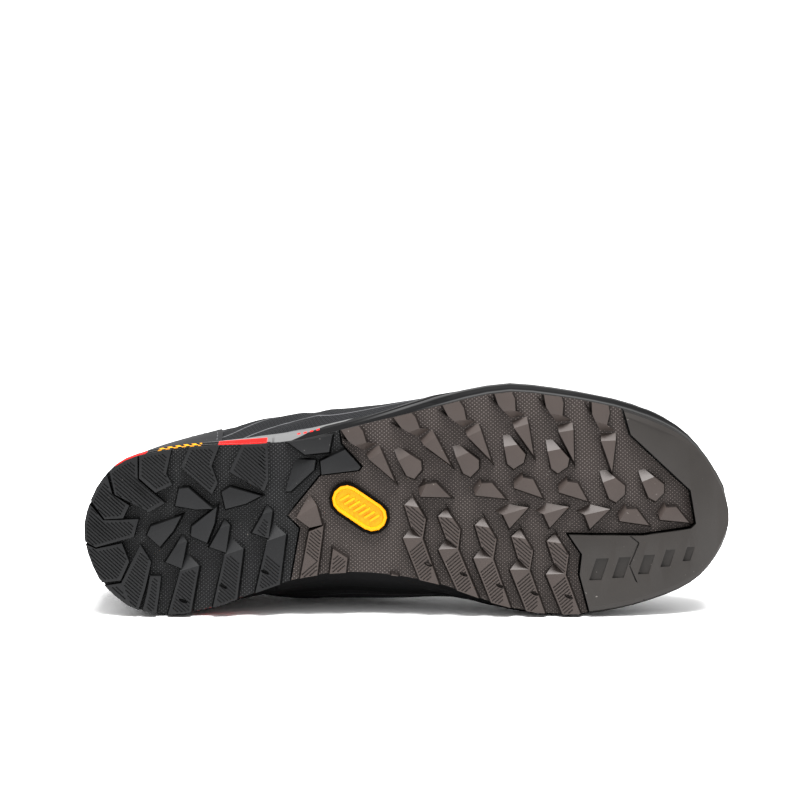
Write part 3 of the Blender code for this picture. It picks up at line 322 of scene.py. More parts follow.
def dress(obj, material, nodes):
    """Material and ride of a finished piece; hides the nodes it replaces."""
    if material is not None:
        obj.data.materials.clear()
        obj.data.materials.append(material)
    if nodes:
        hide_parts(*nodes)
    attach(obj, "root")


def outward(normal):
    """Share of a world direction that points down out of the tread."""
    return -normal.dot(UP)


NODE_STEP = 200
ZONE_EDGE = 0.0004
NOISE_ROUGHNESS = 0.55


class Nodes:
    """Adds and links the nodes of one tree, from left to right."""

    def __init__(self, tree):
        self.tree = tree
        self.column = 0

    def add(self, kind, **settings):
        """A new node to the right of the last one."""
        node = self.tree.nodes.new(kind)
        node.location = (self.column, 0)
        self.column += NODE_STEP
        for key, value in settings.items():
            setattr(node, key, value)
        return node

    def join(self, source, target):
        """Links an output to an input."""
        self.tree.links.new(source, target)

    def math(self, operation, first, second=None, third=None, clamp=False):
        """One sum with sockets or numbers."""
        node = self.add("ShaderNodeMath", operation=operation, use_clamp=clamp)
        for socket, value in zip(node.inputs, (first, second, third)):
            if value is None:
                continue
            if isinstance(value, (int, float)):
                socket.default_value = value
            else:
                self.join(value, socket)
        return node.outputs[0]

    def mix(self, factor, first, second):
        """Colour between two colours or sockets."""
        node = self.add("ShaderNodeMix", data_type="RGBA")
        for index, value in ((0, factor), (6, first), (7, second)):
            if isinstance(value, (int, float, tuple)):
                node.inputs[index].default_value = value
            else:
                self.join(value, node.inputs[index])
        return node.outputs[2]

    def times(self, first, *others):
        """Product of sockets or numbers."""
        for other in others:
            first = self.math("MULTIPLY", first, other)
        return first

    def sum(self, first, *others):
        """Sum of masks, held between 0 and 1."""
        for other in others:
            first = self.math("ADD", first, other, clamp=True)
        return first

    def rest(self, mask):
        """1 where the mask is 0."""
        return self.math("SUBTRACT", 1.0, mask)

    def wave(self, kind, value, pitch):
        """Sine or cosine of a length with a pitch."""
        return self.math(kind, self.times(value, 2 * math.pi / pitch))

    def noise(self, vector, scale, detail):
        """Soft noise around 0.5."""
        node = self.add("ShaderNodeTexNoise")
        node.inputs["Scale"].default_value = scale
        node.inputs["Detail"].default_value = detail
        node.inputs["Roughness"].default_value = NOISE_ROUGHNESS
        self.join(vector, node.inputs["Vector"])
        return node.outputs["Fac"]

    def step(self, value, low, high):
        """0 under low, 1 over high, soft between."""
        node = self.add("ShaderNodeMapRange", interpolation_type="SMOOTHSTEP")
        self.join(value, node.inputs["Value"])
        node.inputs["From Min"].default_value = low
        node.inputs["From Max"].default_value = high
        return node.outputs["Result"]

    def zone(self, value, start, end):
        """1 between two values, 0 outside, with soft edges."""
        rise = self.step(value, start - ZONE_EDGE, start + ZONE_EDGE)
        fall = self.step(value, end - ZONE_EDGE, end + ZONE_EDGE)
        return self.math("SUBTRACT", rise, fall, clamp=True)

    def scaled(self, colour, factor):
        """Colour times a number."""
        node = self.add("ShaderNodeVectorMath", operation="SCALE")
        self.join(colour, node.inputs[0])
        self.join(factor, node.inputs["Scale"])
        return node.outputs[0]

    def parts(self, vector):
        """The three numbers of a vector."""
        node = self.add("ShaderNodeSeparateXYZ")
        self.join(vector, node.inputs[0])
        return node.outputs


def new_group(name, inputs, outputs):
    """Shader group with named sockets. Gives it, its builder, its inputs and its end."""
    group = bpy.data.node_groups.new(name, "ShaderNodeTree")
    for label, kind, value in inputs:
        socket = group.interface.new_socket(name=label, in_out="INPUT", socket_type=kind)
        if value is not None:
            socket.default_value = value
    for label, kind in outputs:
        group.interface.new_socket(name=label, in_out="OUTPUT", socket_type=kind)
    nodes = Nodes(group)
    start = nodes.add("NodeGroupInput")
    end = nodes.add("NodeGroupOutput")
    return group, nodes, start.outputs, end.inputs


VECTOR = "NodeSocketVector"
NUMBER = "NodeSocketFloat"
COLOUR = "NodeSocketColor"
DOT_SQUEEZE = 1.2
DUST_COLOUR = (0.45, 0.43, 0.40, 1.0)


def shoe_group():
    """Object coordinates turned into the standing shoe's own."""
    group, n, given, out = new_group("Shoe", [("Vector", VECTOR, None)], [("Vector", VECTOR)])
    moved = n.add("ShaderNodeVectorMath", operation="SUBTRACT")
    n.join(given["Vector"], moved.inputs[0])
    moved.inputs[1].default_value = STAND.translation
    joined = n.add("ShaderNodeCombineXYZ")
    for k, axis in enumerate(STAND.to_3x3().transposed()):
        along = n.add("ShaderNodeVectorMath", operation="DOT_PRODUCT")
        n.join(moved.outputs[0], along.inputs[0])
        along.inputs[1].default_value = axis
        n.join(along.outputs["Value"], joined.inputs[k])
    n.join(joined.outputs[0], out["Vector"])
    return group


def dots_group():
    """Small raised dots in rows, every second row set over by half a pitch."""
    group, n, given, out = new_group(
        "Dots", [("Vector", VECTOR, None), ("Pitch", NUMBER, 0.001)], [("Dot", NUMBER)]
    )
    x, y, _ = n.parts(given["Vector"])
    along = n.math("DIVIDE", x, given["Pitch"])
    across = n.math("DIVIDE", n.times(y, DOT_SQUEEZE), given["Pitch"])
    both = n.times(n.wave("COSINE", along, 1.0), n.wave("COSINE", across, 1.0))
    n.join(n.step(both, 0.25, 0.75), out["Dot"])
    return group


def wear_group():
    """Uneven colour, dust specks and fine grain that every rubber and fabric has."""
    group, n, given, out = new_group(
        "Wear",
        [
            ("Vector", VECTOR, None),
            ("Colour", COLOUR, None),
            ("Dust", COLOUR, DUST_COLOUR),
            ("Amount", NUMBER, 0.2),
        ],
        [("Colour", COLOUR), ("Roughness", NUMBER), ("Grain", NUMBER)],
    )
    broad = n.noise(given["Vector"], 28.0, 5.0)
    fine = n.noise(given["Vector"], 900.0, 3.0)
    speck = n.step(n.noise(given["Vector"], 620.0, 2.0), 0.735, 0.775)
    shade = n.math("MULTIPLY_ADD", broad, 0.5, 0.75)
    uneven = n.scaled(given["Colour"], shade)
    amount = n.times(speck, given["Amount"])
    n.join(n.mix(amount, uneven, given["Dust"]), out["Colour"])
    n.join(n.math("MULTIPLY_ADD", broad, 0.22, -0.11), out["Roughness"])
    n.join(fine, out["Grain"])
    return group


def weave_group():
    """Plain weave: threads over and under each other, in height."""
    group, n, given, out = new_group(
        "Weave", [("Vector", VECTOR, None), ("Thread", NUMBER, 0.0007)], [("Height", NUMBER)]
    )
    x, y, z = n.parts(given["Vector"])
    along = n.math("DIVIDE", n.math("MULTIPLY_ADD", y, 0.35, x), given["Thread"])
    across = n.math("DIVIDE", n.math("MULTIPLY_ADD", y, 0.94, z), given["Thread"])
    n.join(n.times(n.wave("SINE", along, 2.0), n.wave("SINE", across, 2.0)), out["Height"])
    return group


GROUP_MAKERS = {
    "shoe": shoe_group,
    "dots": dots_group,
    "wear": wear_group,
    "weave": weave_group,
}
GROUPS = {}


def shared_group(name):
    """The named shader group, built the first time it is asked for."""
    if name not in GROUPS:
        GROUPS[name] = GROUP_MAKERS[name]()
    return GROUPS[name]


class Finish:
    """A material with its Principled shader, object coordinates and shared groups."""

    def __init__(self, name, colour, roughness, specular=0.5, dust=0.15):
        self.material = bpy.data.materials.new(name)
        self.material.use_nodes = True
        self.nodes = Nodes(self.material.node_tree)
        self.shader = self.material.node_tree.nodes["Principled BSDF"]
        self.shader.inputs["Specular IOR Level"].default_value = specular
        inside = self.nodes.add("ShaderNodeTexCoord").outputs["Object"]
        self.place = self.use("shoe", Vector=inside).outputs["Vector"]
        self.wear = self.use("wear", Vector=self.place, Amount=dust)
        self.wear.inputs["Colour"].default_value = (*colour, 1.0)
        self.colour = self.wear.outputs["Colour"]
        self.rough = self.nodes.math("ADD", self.wear.outputs["Roughness"], roughness, clamp=True)
        self.heights = []

    def use(self, name, **values):
        """Places a shared group with its values."""
        node = self.nodes.add("ShaderNodeGroup")
        node.node_tree = shared_group(name)
        for key, value in values.items():
            if isinstance(value, (int, float)):
                node.inputs[key].default_value = value
            else:
                self.nodes.join(value, node.inputs[key])
        return node

    def paint(self, mask, colour):
        """Lays a colour over the finish where the mask is 1."""
        self.colour = self.nodes.mix(mask, self.colour, (*colour, 1.0))

    def raise_by(self, height, metres):
        """Adds a height between 0 and 1 to the bump, in metres."""
        self.heights.append((height, metres))

    def done(self):
        """Joins the finish to its shader and gives the material."""
        nodes = self.nodes
        nodes.join(self.colour, self.shader.inputs["Base Color"])
        nodes.join(self.rough, self.shader.inputs["Roughness"])
        last = None
        for height, metres in self.heights:
            bump = nodes.add("ShaderNodeBump")
            bump.inputs["Distance"].default_value = metres
            bump.inputs["Strength"].default_value = 1.0
            nodes.join(height, bump.inputs["Height"])
            if last is not None:
                nodes.join(last, bump.inputs["Normal"])
            last = bump.outputs["Normal"]
        if last is not None:
            nodes.join(last, self.shader.inputs["Normal"])
        return self.material


def shaded(colour, factor, added=0.0):
    """A colour made darker or paler."""
    return tuple(factor * c + added for c in colour)


def rubber(name, colour, roughness, dust=0.25, grain=0.00003, specular=0.22):
    """Moulded rubber or plastic with a fine grain."""
    finish = Finish(name, colour, roughness, specular=specular, dust=dust)
    finish.raise_by(finish.wear.outputs["Grain"], grain)
    return finish


def shaded_dotted_floor(name, colour, pitch):
    """The tread's floor: its base painted darker than the lugs as shade between them, with rows
    of dots painted paler as highlights on their tops.
    """
    # Painted shade: the floor's base is a darker copy of the lugs' rubber.
    finish = rubber(name, shaded(colour, 0.64), 0.55)
    dot = finish.use("dots", Vector=finish.place, Pitch=pitch).outputs["Dot"]
    # Painted highlight: the raised dots are painted paler than the floor's base.
    finish.paint(dot, shaded(colour, 1.8, 0.026))
    finish.raise_by(dot, 0.0006)
    return finish


BADGE_TURN = math.radians(35)
# A near-black ring painted round the inlay, as the shadow in the recess round it: its reach and
# colour.
BADGE_SHADOW_REACH = 0.0012
BADGE_SHADOW_COLOUR = (0.0020, 0.0014, 0.0010)
BADGE_POINTS = shoe_points(frame["nodes"]["sole_badge"])
BADGE_MIDDLE = (sum(BADGE_POINTS, Vector()) / len(BADGE_POINTS)).to_2d()


def badge_distance():
    """Function that gives how far a place in plan lies outside the inlay's outline."""
    turn = Matrix.Rotation(-BADGE_TURN, 2)
    local = [turn @ (p.to_2d() - BADGE_MIDDLE) for p in BADGE_POINTS]
    radius = max(p.y for p in local)
    reach = max(p.x for p in local) - radius

    def away(spot):
        """Metres outside the outline, less than 0 inside."""
        x, y = turn @ (spot - BADGE_MIDDLE)
        return math.hypot(max(0.0, abs(x) - reach), y) - radius

    return away


TREAD_PIECES = (
    ("outsole_heel", "tread_heel", "heel_rubber"),
    ("outsole_main", "tread_main", "main_rubber"),
    ("outsole_toe", "tread_toe", "toe_rubber"),
)
FLOOR, SHADE_WALL, SHADOW_RING = 1, 2, 3
# A probe looks for the tread's face from under the shoe.
PROBE_START = -0.02
PROBE_REACH = 0.08
PROBE_SHARES = (0.06, 0.94)
LAST_GROOVE = 0.7
LEAST_GROOVE = 1.6
LUG_DEPTH = 0.0018
FLAT_SHARE = 0.955
FLOOR_SHARE = 0.9
STEEP_SHARE = 0.45
RISING = math.radians(42)
FALLING = math.radians(-40)
LEAST_HATCHED = 0.00006
# Heel blocks lie at its edge or outside a circle, its bars on the inner side.
HEEL_EDGE = 0.030
HEEL_BACK = 0.012
HEEL_MIDDLE = 0.038
HEEL_CIRCLE = 0.045
HEEL_BLOCK_END = 0.088
HEEL_BAR = Vector((0.034, 0.012))
HEEL_BAR_LOW = 0.014
HEEL_BAR_BORDER = 0.8
# The diamond lies behind the waist's end; the forefoot's long bars bend at a knee.
WAIST_END = 0.150
DIAMOND_LOW = 0.004
DIAMOND_BORDER = 0.0012
BAR_LOW = -0.018
BAR_LENGTH = 0.012
BAR_KNEE = 0.0155
BAR_BORDER = 0.0007
BAR_FRONT = 0.0035
BAR_GAPS = (0.002, 0.003)
NOTCH_TURN = math.radians(25)
NOTCH_SIZE = (0.0044, 0.0017, 0.0024)
NOTCH_REACH = 0.0023
NOTCHES = {
    "outsole_heel": ((0.0452, 0.0327), (0.0640, 0.0264), (0.0834, 0.0201)),
    "outsole_main": (
        (0.1586, 0.0180), (0.1749, 0.0229), (0.1917, 0.0287), (0.2075, 0.0324), (0.2233, 0.0343),
    ),
}
WINDOWS_X = (0.228, 0.288)
WINDOWS_Y = (0.002, 0.032)
TOE_ZIGZAG = ((0.2522, 0.0068), (0.2564, 0.0103), (0.2518, 0.0205), (0.2590, 0.0385))


def running_level(points):
    """Function that gives the height of the tread's running face at a place along it."""
    rows = sorted((point.x, point.z) for point in points)
    hull = []
    for row in rows:
        while len(hull) > 1:
            (ax, az), (bx, bz) = hull[-2:]
            if (bx - ax) * (row[1] - az) > (bz - az) * (row[0] - ax):
                break
            hull.pop()
        hull.append(row)

    def level(x):
        """Height between the two corners of the hull round x."""
        for (ax, az), (bx, bz) in zip(hull, hull[1:]):
            if x <= bx and bx > ax:
                share = max(0.0, (x - ax) / (bx - ax))
                return az + (bz - az) * share
        return hull[-1][1]

    return level


def lug_faces(edit, lowest):
    """Faces at the lugs' running level."""
    found = []
    for face in edit.faces:
        centre = LIE @ face.calc_center_median()
        if outward(face.normal) > FLAT_SHARE and centre.z - lowest(centre.x) < LUG_DEPTH:
            found.append(face)
    return found


def crossings(corners, origin, way):
    """Distances along a line at which it crosses a plan polygon, in order."""
    found = []
    side = Vector((-way.y, way.x))
    for a, b in zip(corners, corners[1:] + corners[:1]):
        da = (a - origin).dot(side)
        db = (b - origin).dot(side)
        if (da > 0) != (db > 0):
            point = a + (b - a) * (da / (da - db))
            found.append((point - origin).dot(way))
    return sorted(found)


def hatch_lines(corners, angle, pitch, border, spare_front=0.0, low=-1.0, high=1.0):
    """Centre lines of the grooves inside a lug face, each as its two ends in plan."""
    way = Vector((math.cos(angle), math.sin(angle)))
    side = Vector((-way.y, way.x))
    spread = [corner.dot(side) for corner in corners]
    lines = []
    offset = min(spread) + border
    while offset < max(spread) - LAST_GROOVE * border:
        origin = side * offset
        cuts = crossings(corners, origin, way)
        for start, end in zip(cuts[::2], cuts[1::2]):
            start += border
            end -= border
            first = origin + way * start
            last = origin + way * end
            front = max(corner.x for corner in corners) - spare_front
            if spare_front and last.x > front:
                share = (front - first.x) / (last.x - first.x)
                last = first + (last - first) * share
                end = start + (end - start) * share
            middle = (first + last) / 2
            if end - start > LEAST_GROOVE * pitch and low < middle.y < high:
                lines.append((first, last))
        offset += pitch
    return lines


def face_height(tree, x, y):
    """Height of the tread's lowest face over a place in plan."""
    hit = tree.ray_cast(place(x, y, PROBE_START), UP, PROBE_REACH)[0]
    return 0.0 if hit is None else (LIE @ hit).z


def groove_cutter(lines, tree, width, depth):
    """One object of long thin boxes, one for each line."""
    cutter = blank("grooves")
    with editing(cutter, "VERT"):
        for first, last in lines:
            ends = []
            for share in PROBE_SHARES:
                spot = first.lerp(last, share)
                ends.append(Vector((spot.x, spot.y, face_height(tree, spot.x, spot.y))))
            middle = STAND @ ((ends[0] + ends[1]) / 2)
            way = (STAND.to_3x3() @ (ends[1] - ends[0])).normalized()
            side = UP.cross(way).normalized()
            turn = Matrix((way, side, way.cross(side))).transposed()
            bpy.ops.mesh.primitive_cube_add(
                size=1.0,
                location=middle,
                rotation=turn.to_euler(),
                scale=((last - first).length, width, 2 * depth),
            )
    return cutter


def notch_cutter(spots, tree):
    """One object of small leaf shapes sunk into the lugs."""
    cutter = blank("notches")
    turn = turned_in_plan(NOTCH_TURN)
    with editing(cutter, "VERT"):
        for x, y in spots:
            bpy.ops.mesh.primitive_uv_sphere_add(
                segments=12,
                ring_count=6,
                radius=0.5,
                location=place(x, y, face_height(tree, x, y)),
                rotation=turn,
                scale=NOTCH_SIZE,
            )
    return cutter


def cut(obj, cutter):
    """Takes the cutter's shape out of an object and removes the cutter."""
    apply_modifier(obj, "BOOLEAN", operation="DIFFERENCE", solver="MANIFOLD", object=cutter)
    bpy.data.objects.remove(cutter)


def plan_corners(face):
    """Corners of a face in the shoe's plan."""
    return [(LIE @ loop.vert.co).to_2d() for loop in face.loops]


def heel_hatch(corners, sizes):
    """Grooves of a heel block or bar, by where its face lies."""
    xs = [corner.x for corner in corners]
    ys = [corner.y for corner in corners]
    centre = Vector((sum(xs) / len(xs), sum(ys) / len(ys)))
    small = (max(xs) - min(xs)) * (max(ys) - min(ys)) < LEAST_HATCHED
    at_edge = max(abs(side) for side in ys) > HEEL_EDGE or min(xs) < HEEL_BACK
    inside = not at_edge and math.hypot(centre.x - HEEL_MIDDLE, centre.y) < HEEL_CIRCLE
    if small or inside or centre.x > HEEL_BLOCK_END:
        return []
    pitch = sizes.hatch_pitch
    border = sizes.hatch_border
    if centre.x > HEEL_BAR.x and centre.y > HEEL_BAR.y:
        return hatch_lines(corners, RISING, pitch, HEEL_BAR_BORDER * border, low=HEEL_BAR_LOW)
    return hatch_lines(corners, RISING, pitch, border)


def main_hatch(corners, sizes):
    """Grooves of the inner side's lugs: one way on the diamond, the other on the bar."""
    ys = [corner.y for corner in corners]
    top = min(ys)
    pitch = sizes.hatch_pitch
    if max(corner.x for corner in corners) < WAIST_END and top > DIAMOND_LOW:
        return hatch_lines(corners, FALLING, pitch, DIAMOND_BORDER)
    if top < BAR_LOW or max(ys) - top < BAR_LENGTH or max(ys) < BAR_LENGTH:
        return []
    knee = top + BAR_KNEE
    low, high = BAR_GAPS
    upper = hatch_lines(corners, RISING, pitch, BAR_BORDER, low=top + low, high=knee)
    lower = hatch_lines(corners, FALLING, pitch, BAR_BORDER, BAR_FRONT, low=knee + high)
    return upper + lower


def tread_lines(obj, node, lowest, sizes):
    """Centre lines of the fine grooves of one tread piece."""
    if node == "outsole_toe":
        corners = [Vector(corner) for corner in TOE_ZIGZAG]
        return [(a.lerp(b, 0.01), a.lerp(b, 0.99)) for a, b in zip(corners, corners[1:])]
    hatch = heel_hatch if node == "outsole_heel" else main_hatch
    lines = []
    with editing(obj) as edit:
        for face in lug_faces(edit, lowest):
            lines += hatch(plan_corners(face), sizes)
    return lines


def bevel_lugs(obj, lowest, width):
    """Rounds the edges between the lugs' faces and their walls."""
    with editing(obj, "EDGE") as edit:
        tops = set(lug_faces(edit, lowest))
        rims = [
            edge
            for edge in edit.edges
            if len(edge.link_faces) == 2
            and len(tops.intersection(edge.link_faces)) == 1
            and edge.calc_face_angle() > math.radians(18)
        ]
        pick(obj, rims)
        bpy.ops.mesh.bevel(
            offset=width, segments=2, affect="EDGES", clamp_overlap=True, profile=0.6
        )


def refine_tread(node, name, slot, colour, sizes):
    """Bevelled lugs, hatched faces and a dotted floor on a copy of one tread piece."""
    toe = node == "outsole_toe"
    obj = twin(node, name)
    lowest = running_level(shoe_points(obj))
    with editing(obj) as edit:
        pick(obj, lug_faces(edit, lowest))
        bpy.ops.mesh.dissolve_limited(angle_limit=math.radians(9))
    lines = tread_lines(obj, node, lowest, sizes)
    bevel_lugs(obj, lowest, sizes.edge * (2.0 if toe else 1.0))
    tree = tree_of(obj)
    if lines:
        cut(obj, groove_cutter(lines, tree, sizes.hatch_width, sizes.hatch_depth))
    if node in NOTCHES:
        cut(obj, notch_cutter(NOTCHES[node], tree))
    face = rubber(name + "_rubber", colour, 0.40 if toe else 0.44)
    dress(obj, face.done(), [node])
    if toe:
        # Painted shade: the toe's sunk windows get a darker copy of its rubber.
        deep = rubber(name + "_windows", shaded(colour, 0.68), 0.5)
    else:
        # Painted shade and highlight: the floor between the lugs, with its paler dots.
        deep = shaded_dotted_floor(name + "_floor", colour, sizes.dot_pitch)
    obj.data.materials.append(deep.done())
    # Painted shade: steep walls and the notches' insides get a much darker, duller copy of the
    # rubber.
    painted_wall_shade = rubber(name + "_shaded_walls", shaded(colour, 0.35), 0.6, specular=0.12)
    obj.data.materials.append(painted_wall_shade.done())
    paint_depths(obj, node, lowest)
    if node == "outsole_main":
        # Painted shadow round the inlay.
        paint_inlay_shadow(obj)
    smooth(obj, 28)


def paint_depths(obj, node, lowest):
    """Second material, a darker copy painted as shade, on floors or windows; third, a much darker
    copy painted as shade, on steep walls and inside the notches.
    """
    notches = [Vector(spot) for spot in NOTCHES.get(node, ())]
    with editing(obj) as edit:
        for face in edit.faces:
            centre = LIE @ face.calc_center_median()
            deep = centre.z - lowest(centre.x)
            flat = outward(face.normal)
            if node == "outsole_toe":
                across = WINDOWS_Y[0] < centre.y < WINDOWS_Y[1]
                inside = WINDOWS_X[0] < centre.x < WINDOWS_X[1] and across
                if inside and flat > FLOOR_SHARE and deep > 0.0005:
                    face.material_index = FLOOR
            elif flat > FLOOR_SHARE and deep > LUG_DEPTH:
                face.material_index = FLOOR
            # Painted shade on the steep walls.
            if abs(flat) < STEEP_SHARE:
                face.material_index = SHADE_WALL
            # Painted shade inside the notches.
            sunk = 0.00012 < deep < 0.0014 and face.calc_area() < 0.000001
            if sunk and any((spot - centre.to_2d()).length < NOTCH_REACH for spot in notches):
                face.material_index = SHADE_WALL


def paint_inlay_shadow(obj):
    """Fourth material, near black, painted in a ring on the main piece round the inlay, as the
    shadow in the recess round it.
    """
    rim = rubber("inlay_shadow", BADGE_SHADOW_COLOUR, 0.7, specular=0.08, dust=0.02)
    obj.data.materials.append(rim.done())
    away = badge_distance()
    for face in obj.data.polygons:
        if away((LIE @ face.center).to_2d()) < BADGE_SHADOW_REACH:
            face.material_index = SHADOW_RING


class SHOE_OT_tread(bpy.types.Operator):
    """Heel, main and toe rubber with their lugs, grooves and dotted floors"""

    bl_idname = "shoe.tread"
    bl_label = "Tread"

    def execute(self, context):
        sizes = context.scene.shoe_tread
        for piece, colour in zip(TREAD_PIECES, (sizes.heel, sizes.main, sizes.toe)):
            refine_tread(*piece, tuple(colour), sizes)
        return {"FINISHED"}


def attribute(obj, name, values):
    """Writes one number for each vertex, which the material reads by its name."""
    data = obj.data.attributes.new(name, "FLOAT", "POINT").data
    for item, value in zip(data, values):
        item.value = value


def read(finish, name):
    """Socket with the number that a vertex attribute holds."""
    node = finish.nodes.add("ShaderNodeAttribute", attribute_name=name)
    return node.outputs["Fac"]


def tree_of(obj):
    """Search tree of an object's faces."""
    mesh = bmesh.new()
    mesh.from_mesh(obj.data)
    tree = BVHTree.FromBMesh(mesh)
    mesh.free()
    return tree


SHOE_WIDTH = 0.12
LIFT = 0.0004


def outer_vertices(obj):
    """Indices of a shell's vertices that look out of it, not into its hollow."""
    tree = tree_of(obj)
    found = set()
    for vertex in obj.data.vertices:
        start = vertex.co + vertex.normal * LIFT
        if tree.ray_cast(start, vertex.normal, SHOE_WIDTH)[0] is None:
            found.add(vertex.index)
    return found


LEAST_WEIGHT = 0.01
RIM_ANGLE = math.radians(50)
RIM_CREASE = 0.8


def displace(obj, weights, metres):
    """Moves vertices along their normals by a share of a distance."""
    relief = obj.vertex_groups.new(name="relief")
    for index, weight in weights.items():
        if weight > LEAST_WEIGHT:
            relief.add([index], min(weight, 1.0), "REPLACE")
    apply_modifier(
        obj, "DISPLACE", strength=metres, mid_level=0.0, direction="NORMAL", vertex_group="relief"
    )
    obj.vertex_groups.remove(obj.vertex_groups["relief"])


def hold_rims(obj):
    """Keeps a shell's sharp rims in place when it is subdivided."""
    with editing(obj, "EDGE") as edit:
        rims = [
            edge
            for edge in edit.edges
            if len(edge.link_faces) == 2 and edge.calc_face_angle() > RIM_ANGLE
        ]
        pick(obj, rims)
        bpy.ops.transform.edge_crease(value=RIM_CREASE)


CREASE_BEADS = 16
CREASE_REACH = 4
CREASE_FADE = (0.06, 0.88)
RIDGE_AWAY = 1.9
RIDGE_SHARE = 0.4


def crease(obj, outer, start, end, width, depth):
    """A soft trough with a low ridge on both sides, fading at its ends."""
    tree = tree_of(obj)
    line = KDTree(CREASE_BEADS)
    for k in range(CREASE_BEADS):
        share = k / (CREASE_BEADS - 1)
        spot = place(*start).lerp(place(*end), share)
        line.insert(tree.find_nearest(spot)[0], k)
    line.balance()
    trough = {}
    ridge = {}
    for index in outer:
        _, bead, away = line.find(obj.data.vertices[index].co)
        if away < CREASE_REACH * width:
            along = CREASE_FADE[0] + CREASE_FADE[1] * bead / (CREASE_BEADS - 1)
            fade = math.sin(math.pi * along)
            trough[index] = fade * math.exp(-((away / width) ** 2))
            ridge[index] = fade * math.exp(-(((away - RIDGE_AWAY * width) / width) ** 2))
    displace(obj, trough, -depth)
    displace(obj, ridge, RIDGE_SHARE * depth)


def strew(name, seed, places):
    """One mesh with a copy of the seed at every matrix. The seed is used up."""
    bpy.ops.object.select_all(action="DESELECT")
    for matrix in places:
        copy = bpy.data.objects.new(name, seed.data.copy())
        bpy.context.scene.collection.objects.link(copy)
        copy.matrix_world = matrix
        copy.select_set(True)
        bpy.context.view_layer.objects.active = copy
    bpy.data.objects.remove(seed)
    bpy.ops.object.join()
    joined = bpy.context.object
    joined.name = name
    bpy.ops.object.transform_apply(location=True, rotation=True, scale=True)
    return joined


def egg(size, segments, rings):
    """A small egg shape to be strewn."""
    bpy.ops.object.select_all(action="DESELECT")
    bpy.ops.mesh.primitive_uv_sphere_add(segments=segments, ring_count=rings, radius=0.5)
    seed = bpy.context.object
    seed.scale = size
    bpy.ops.object.transform_apply(scale=True)
    return seed


def along_loop(points, step):
    """Even places round a closed line, each with its direction."""
    found = []
    left = 0.0
    for a, b in zip(points, points[1:] + points[:1]):
        way = b - a
        reach = way.length
        while left < reach:
            found.append((a + way * (left / reach), way.normalized()))
            left += step
        left -= reach
    return found


STITCH_WIDTH = 0.00062
STITCH_HEIGHT = 0.00056
STITCH_LIFT = 0.00012
STITCH_STEP = 1.35


def sew(name, obj, points, length):
    """Stitches laid along a closed line on a piece's surface."""
    tree = tree_of(obj)
    places = []
    for point, way in along_loop(points, STITCH_STEP * length):
        spot, normal, _, _ = tree.find_nearest(point)
        side = normal.cross(way).normalized()
        turn = Matrix((side.cross(normal), side, normal)).transposed().to_4x4()
        places.append(Matrix.Translation(spot + normal * STITCH_LIFT) @ turn)
    stitches = strew(name, egg((length, STITCH_WIDTH, STITCH_HEIGHT), 8, 6), places)
    smooth(stitches, 60)
    return stitches


def ring_walk(edges):
    """Points of a closed chain of edges in order: the longest such chain."""
    left = set(edges)
    best = []
    while left:
        edge = left.pop()
        first, at = edge.verts
        points = [first.co.copy()]
        while at is not first:
            points.append(at.co.copy())
            follow = next((e for e in at.link_edges if e in left), None)
            if follow is None:
                break
            left.discard(follow)
            at = follow.other_vert(at)
        if len(points) > len(best):
            best = points
    return best


OVERLAY_REACH = 0.0022
UPPER_REACH = 0.004
SKIN = 0.00005


def face_side(face, own, under):
    """True for a face on the outer side of an overlay."""
    centre = face.calc_center_median()
    back = -face.normal
    through = own.ray_cast(centre + back * SKIN, back, OVERLAY_REACH)[0]
    below = under.ray_cast(centre, back, OVERLAY_REACH + UPPER_REACH)[0]
    return through is not None and below is not None


def seam(obj, under, margin, width, depth, even=True):
    """A sewn channel near the border of an overlay. Gives the line of its stitches."""
    own = tree_of(obj)
    with editing(obj) as edit:
        pick(obj, [f for f in edit.faces if face_side(f, own, under)])
        bpy.ops.mesh.inset(thickness=margin, use_even_offset=even)
        bpy.ops.mesh.inset(thickness=width / 2, use_even_offset=even)
        edit = bmesh.from_edit_mesh(obj.data)
        rim = [e for e in edit.edges if sum(f.select for f in e.link_faces) == 1]
        line = ring_walk(rim)
        low = {v.index for e in rim for v in e.verts}
        bpy.ops.mesh.inset(thickness=width / 2, use_even_offset=even)
        bpy.ops.mesh.select_all(action="DESELECT")
    displace(obj, dict.fromkeys(low, 1.0), -depth)
    return line


# Sizes and places on the sole's side, x from the heel and heights over the tread.
SWELL = 0.0028
SWELL_START = 0.128
SWELL_END = 0.294
SWELL_STEP = 0.004
SWELL_RUN = (0.035, 0.030)
SWELL_SIDE = 0.2
SWELL_RIB = 0.28
SWELL_POWER = 0.6
SIDE_RIB_PITCH = 0.0038
INLAY_RIBS = 7
INLAY_RIB_PITCH = 0.0028
INLAY_RIB_TURN = 0.45
RED_PATCHES = ((0.0145, 0.0290), (0.0626, 0.0850))
INNER_PATCH = (0.0510, 0.0760)
DARK_PATCH = (0.0290, 0.0626)
MARKS = (0.0345, 0.0545)
MARKS_HEIGHT = (0.0008, 0.0058)
DASHES = (0.0990, 0.1100)
DASHES_HEIGHT = (0.0050, 0.0080)
DASH_PITCH = 0.0030
PATCH_TOP = (0.0075, 0.0082)
INNER_GREY_END = 0.060
GREY_TAPER = 0.030
GREY_SLOPE = 0.63
INNER_RIBS = (0.150, 0.180)
INNER_RIB_DEPTH = 0.0005
# Where the painted highlight on the crests of the outer swell's ribs fades in, and its colour.
CREST_HIGHLIGHT_RUN = (0.120, 0.150)
CREST_HIGHLIGHT_COLOUR = (0.05, 0.05, 0.05)


def inner_side(n, y):
    """1 on the foot's inner side, 0 on its outer side."""
    return n.step(y, -0.002, 0.002)


def heel_marks(n, x, z, pitch):
    """Plain slanted marks on the heel's side."""
    slant = n.math("MULTIPLY_ADD", z, 0.5, x)
    return n.times(n.step(n.wave("SINE", slant, pitch), -0.25, 0.0), n.zone(x, *MARKS))


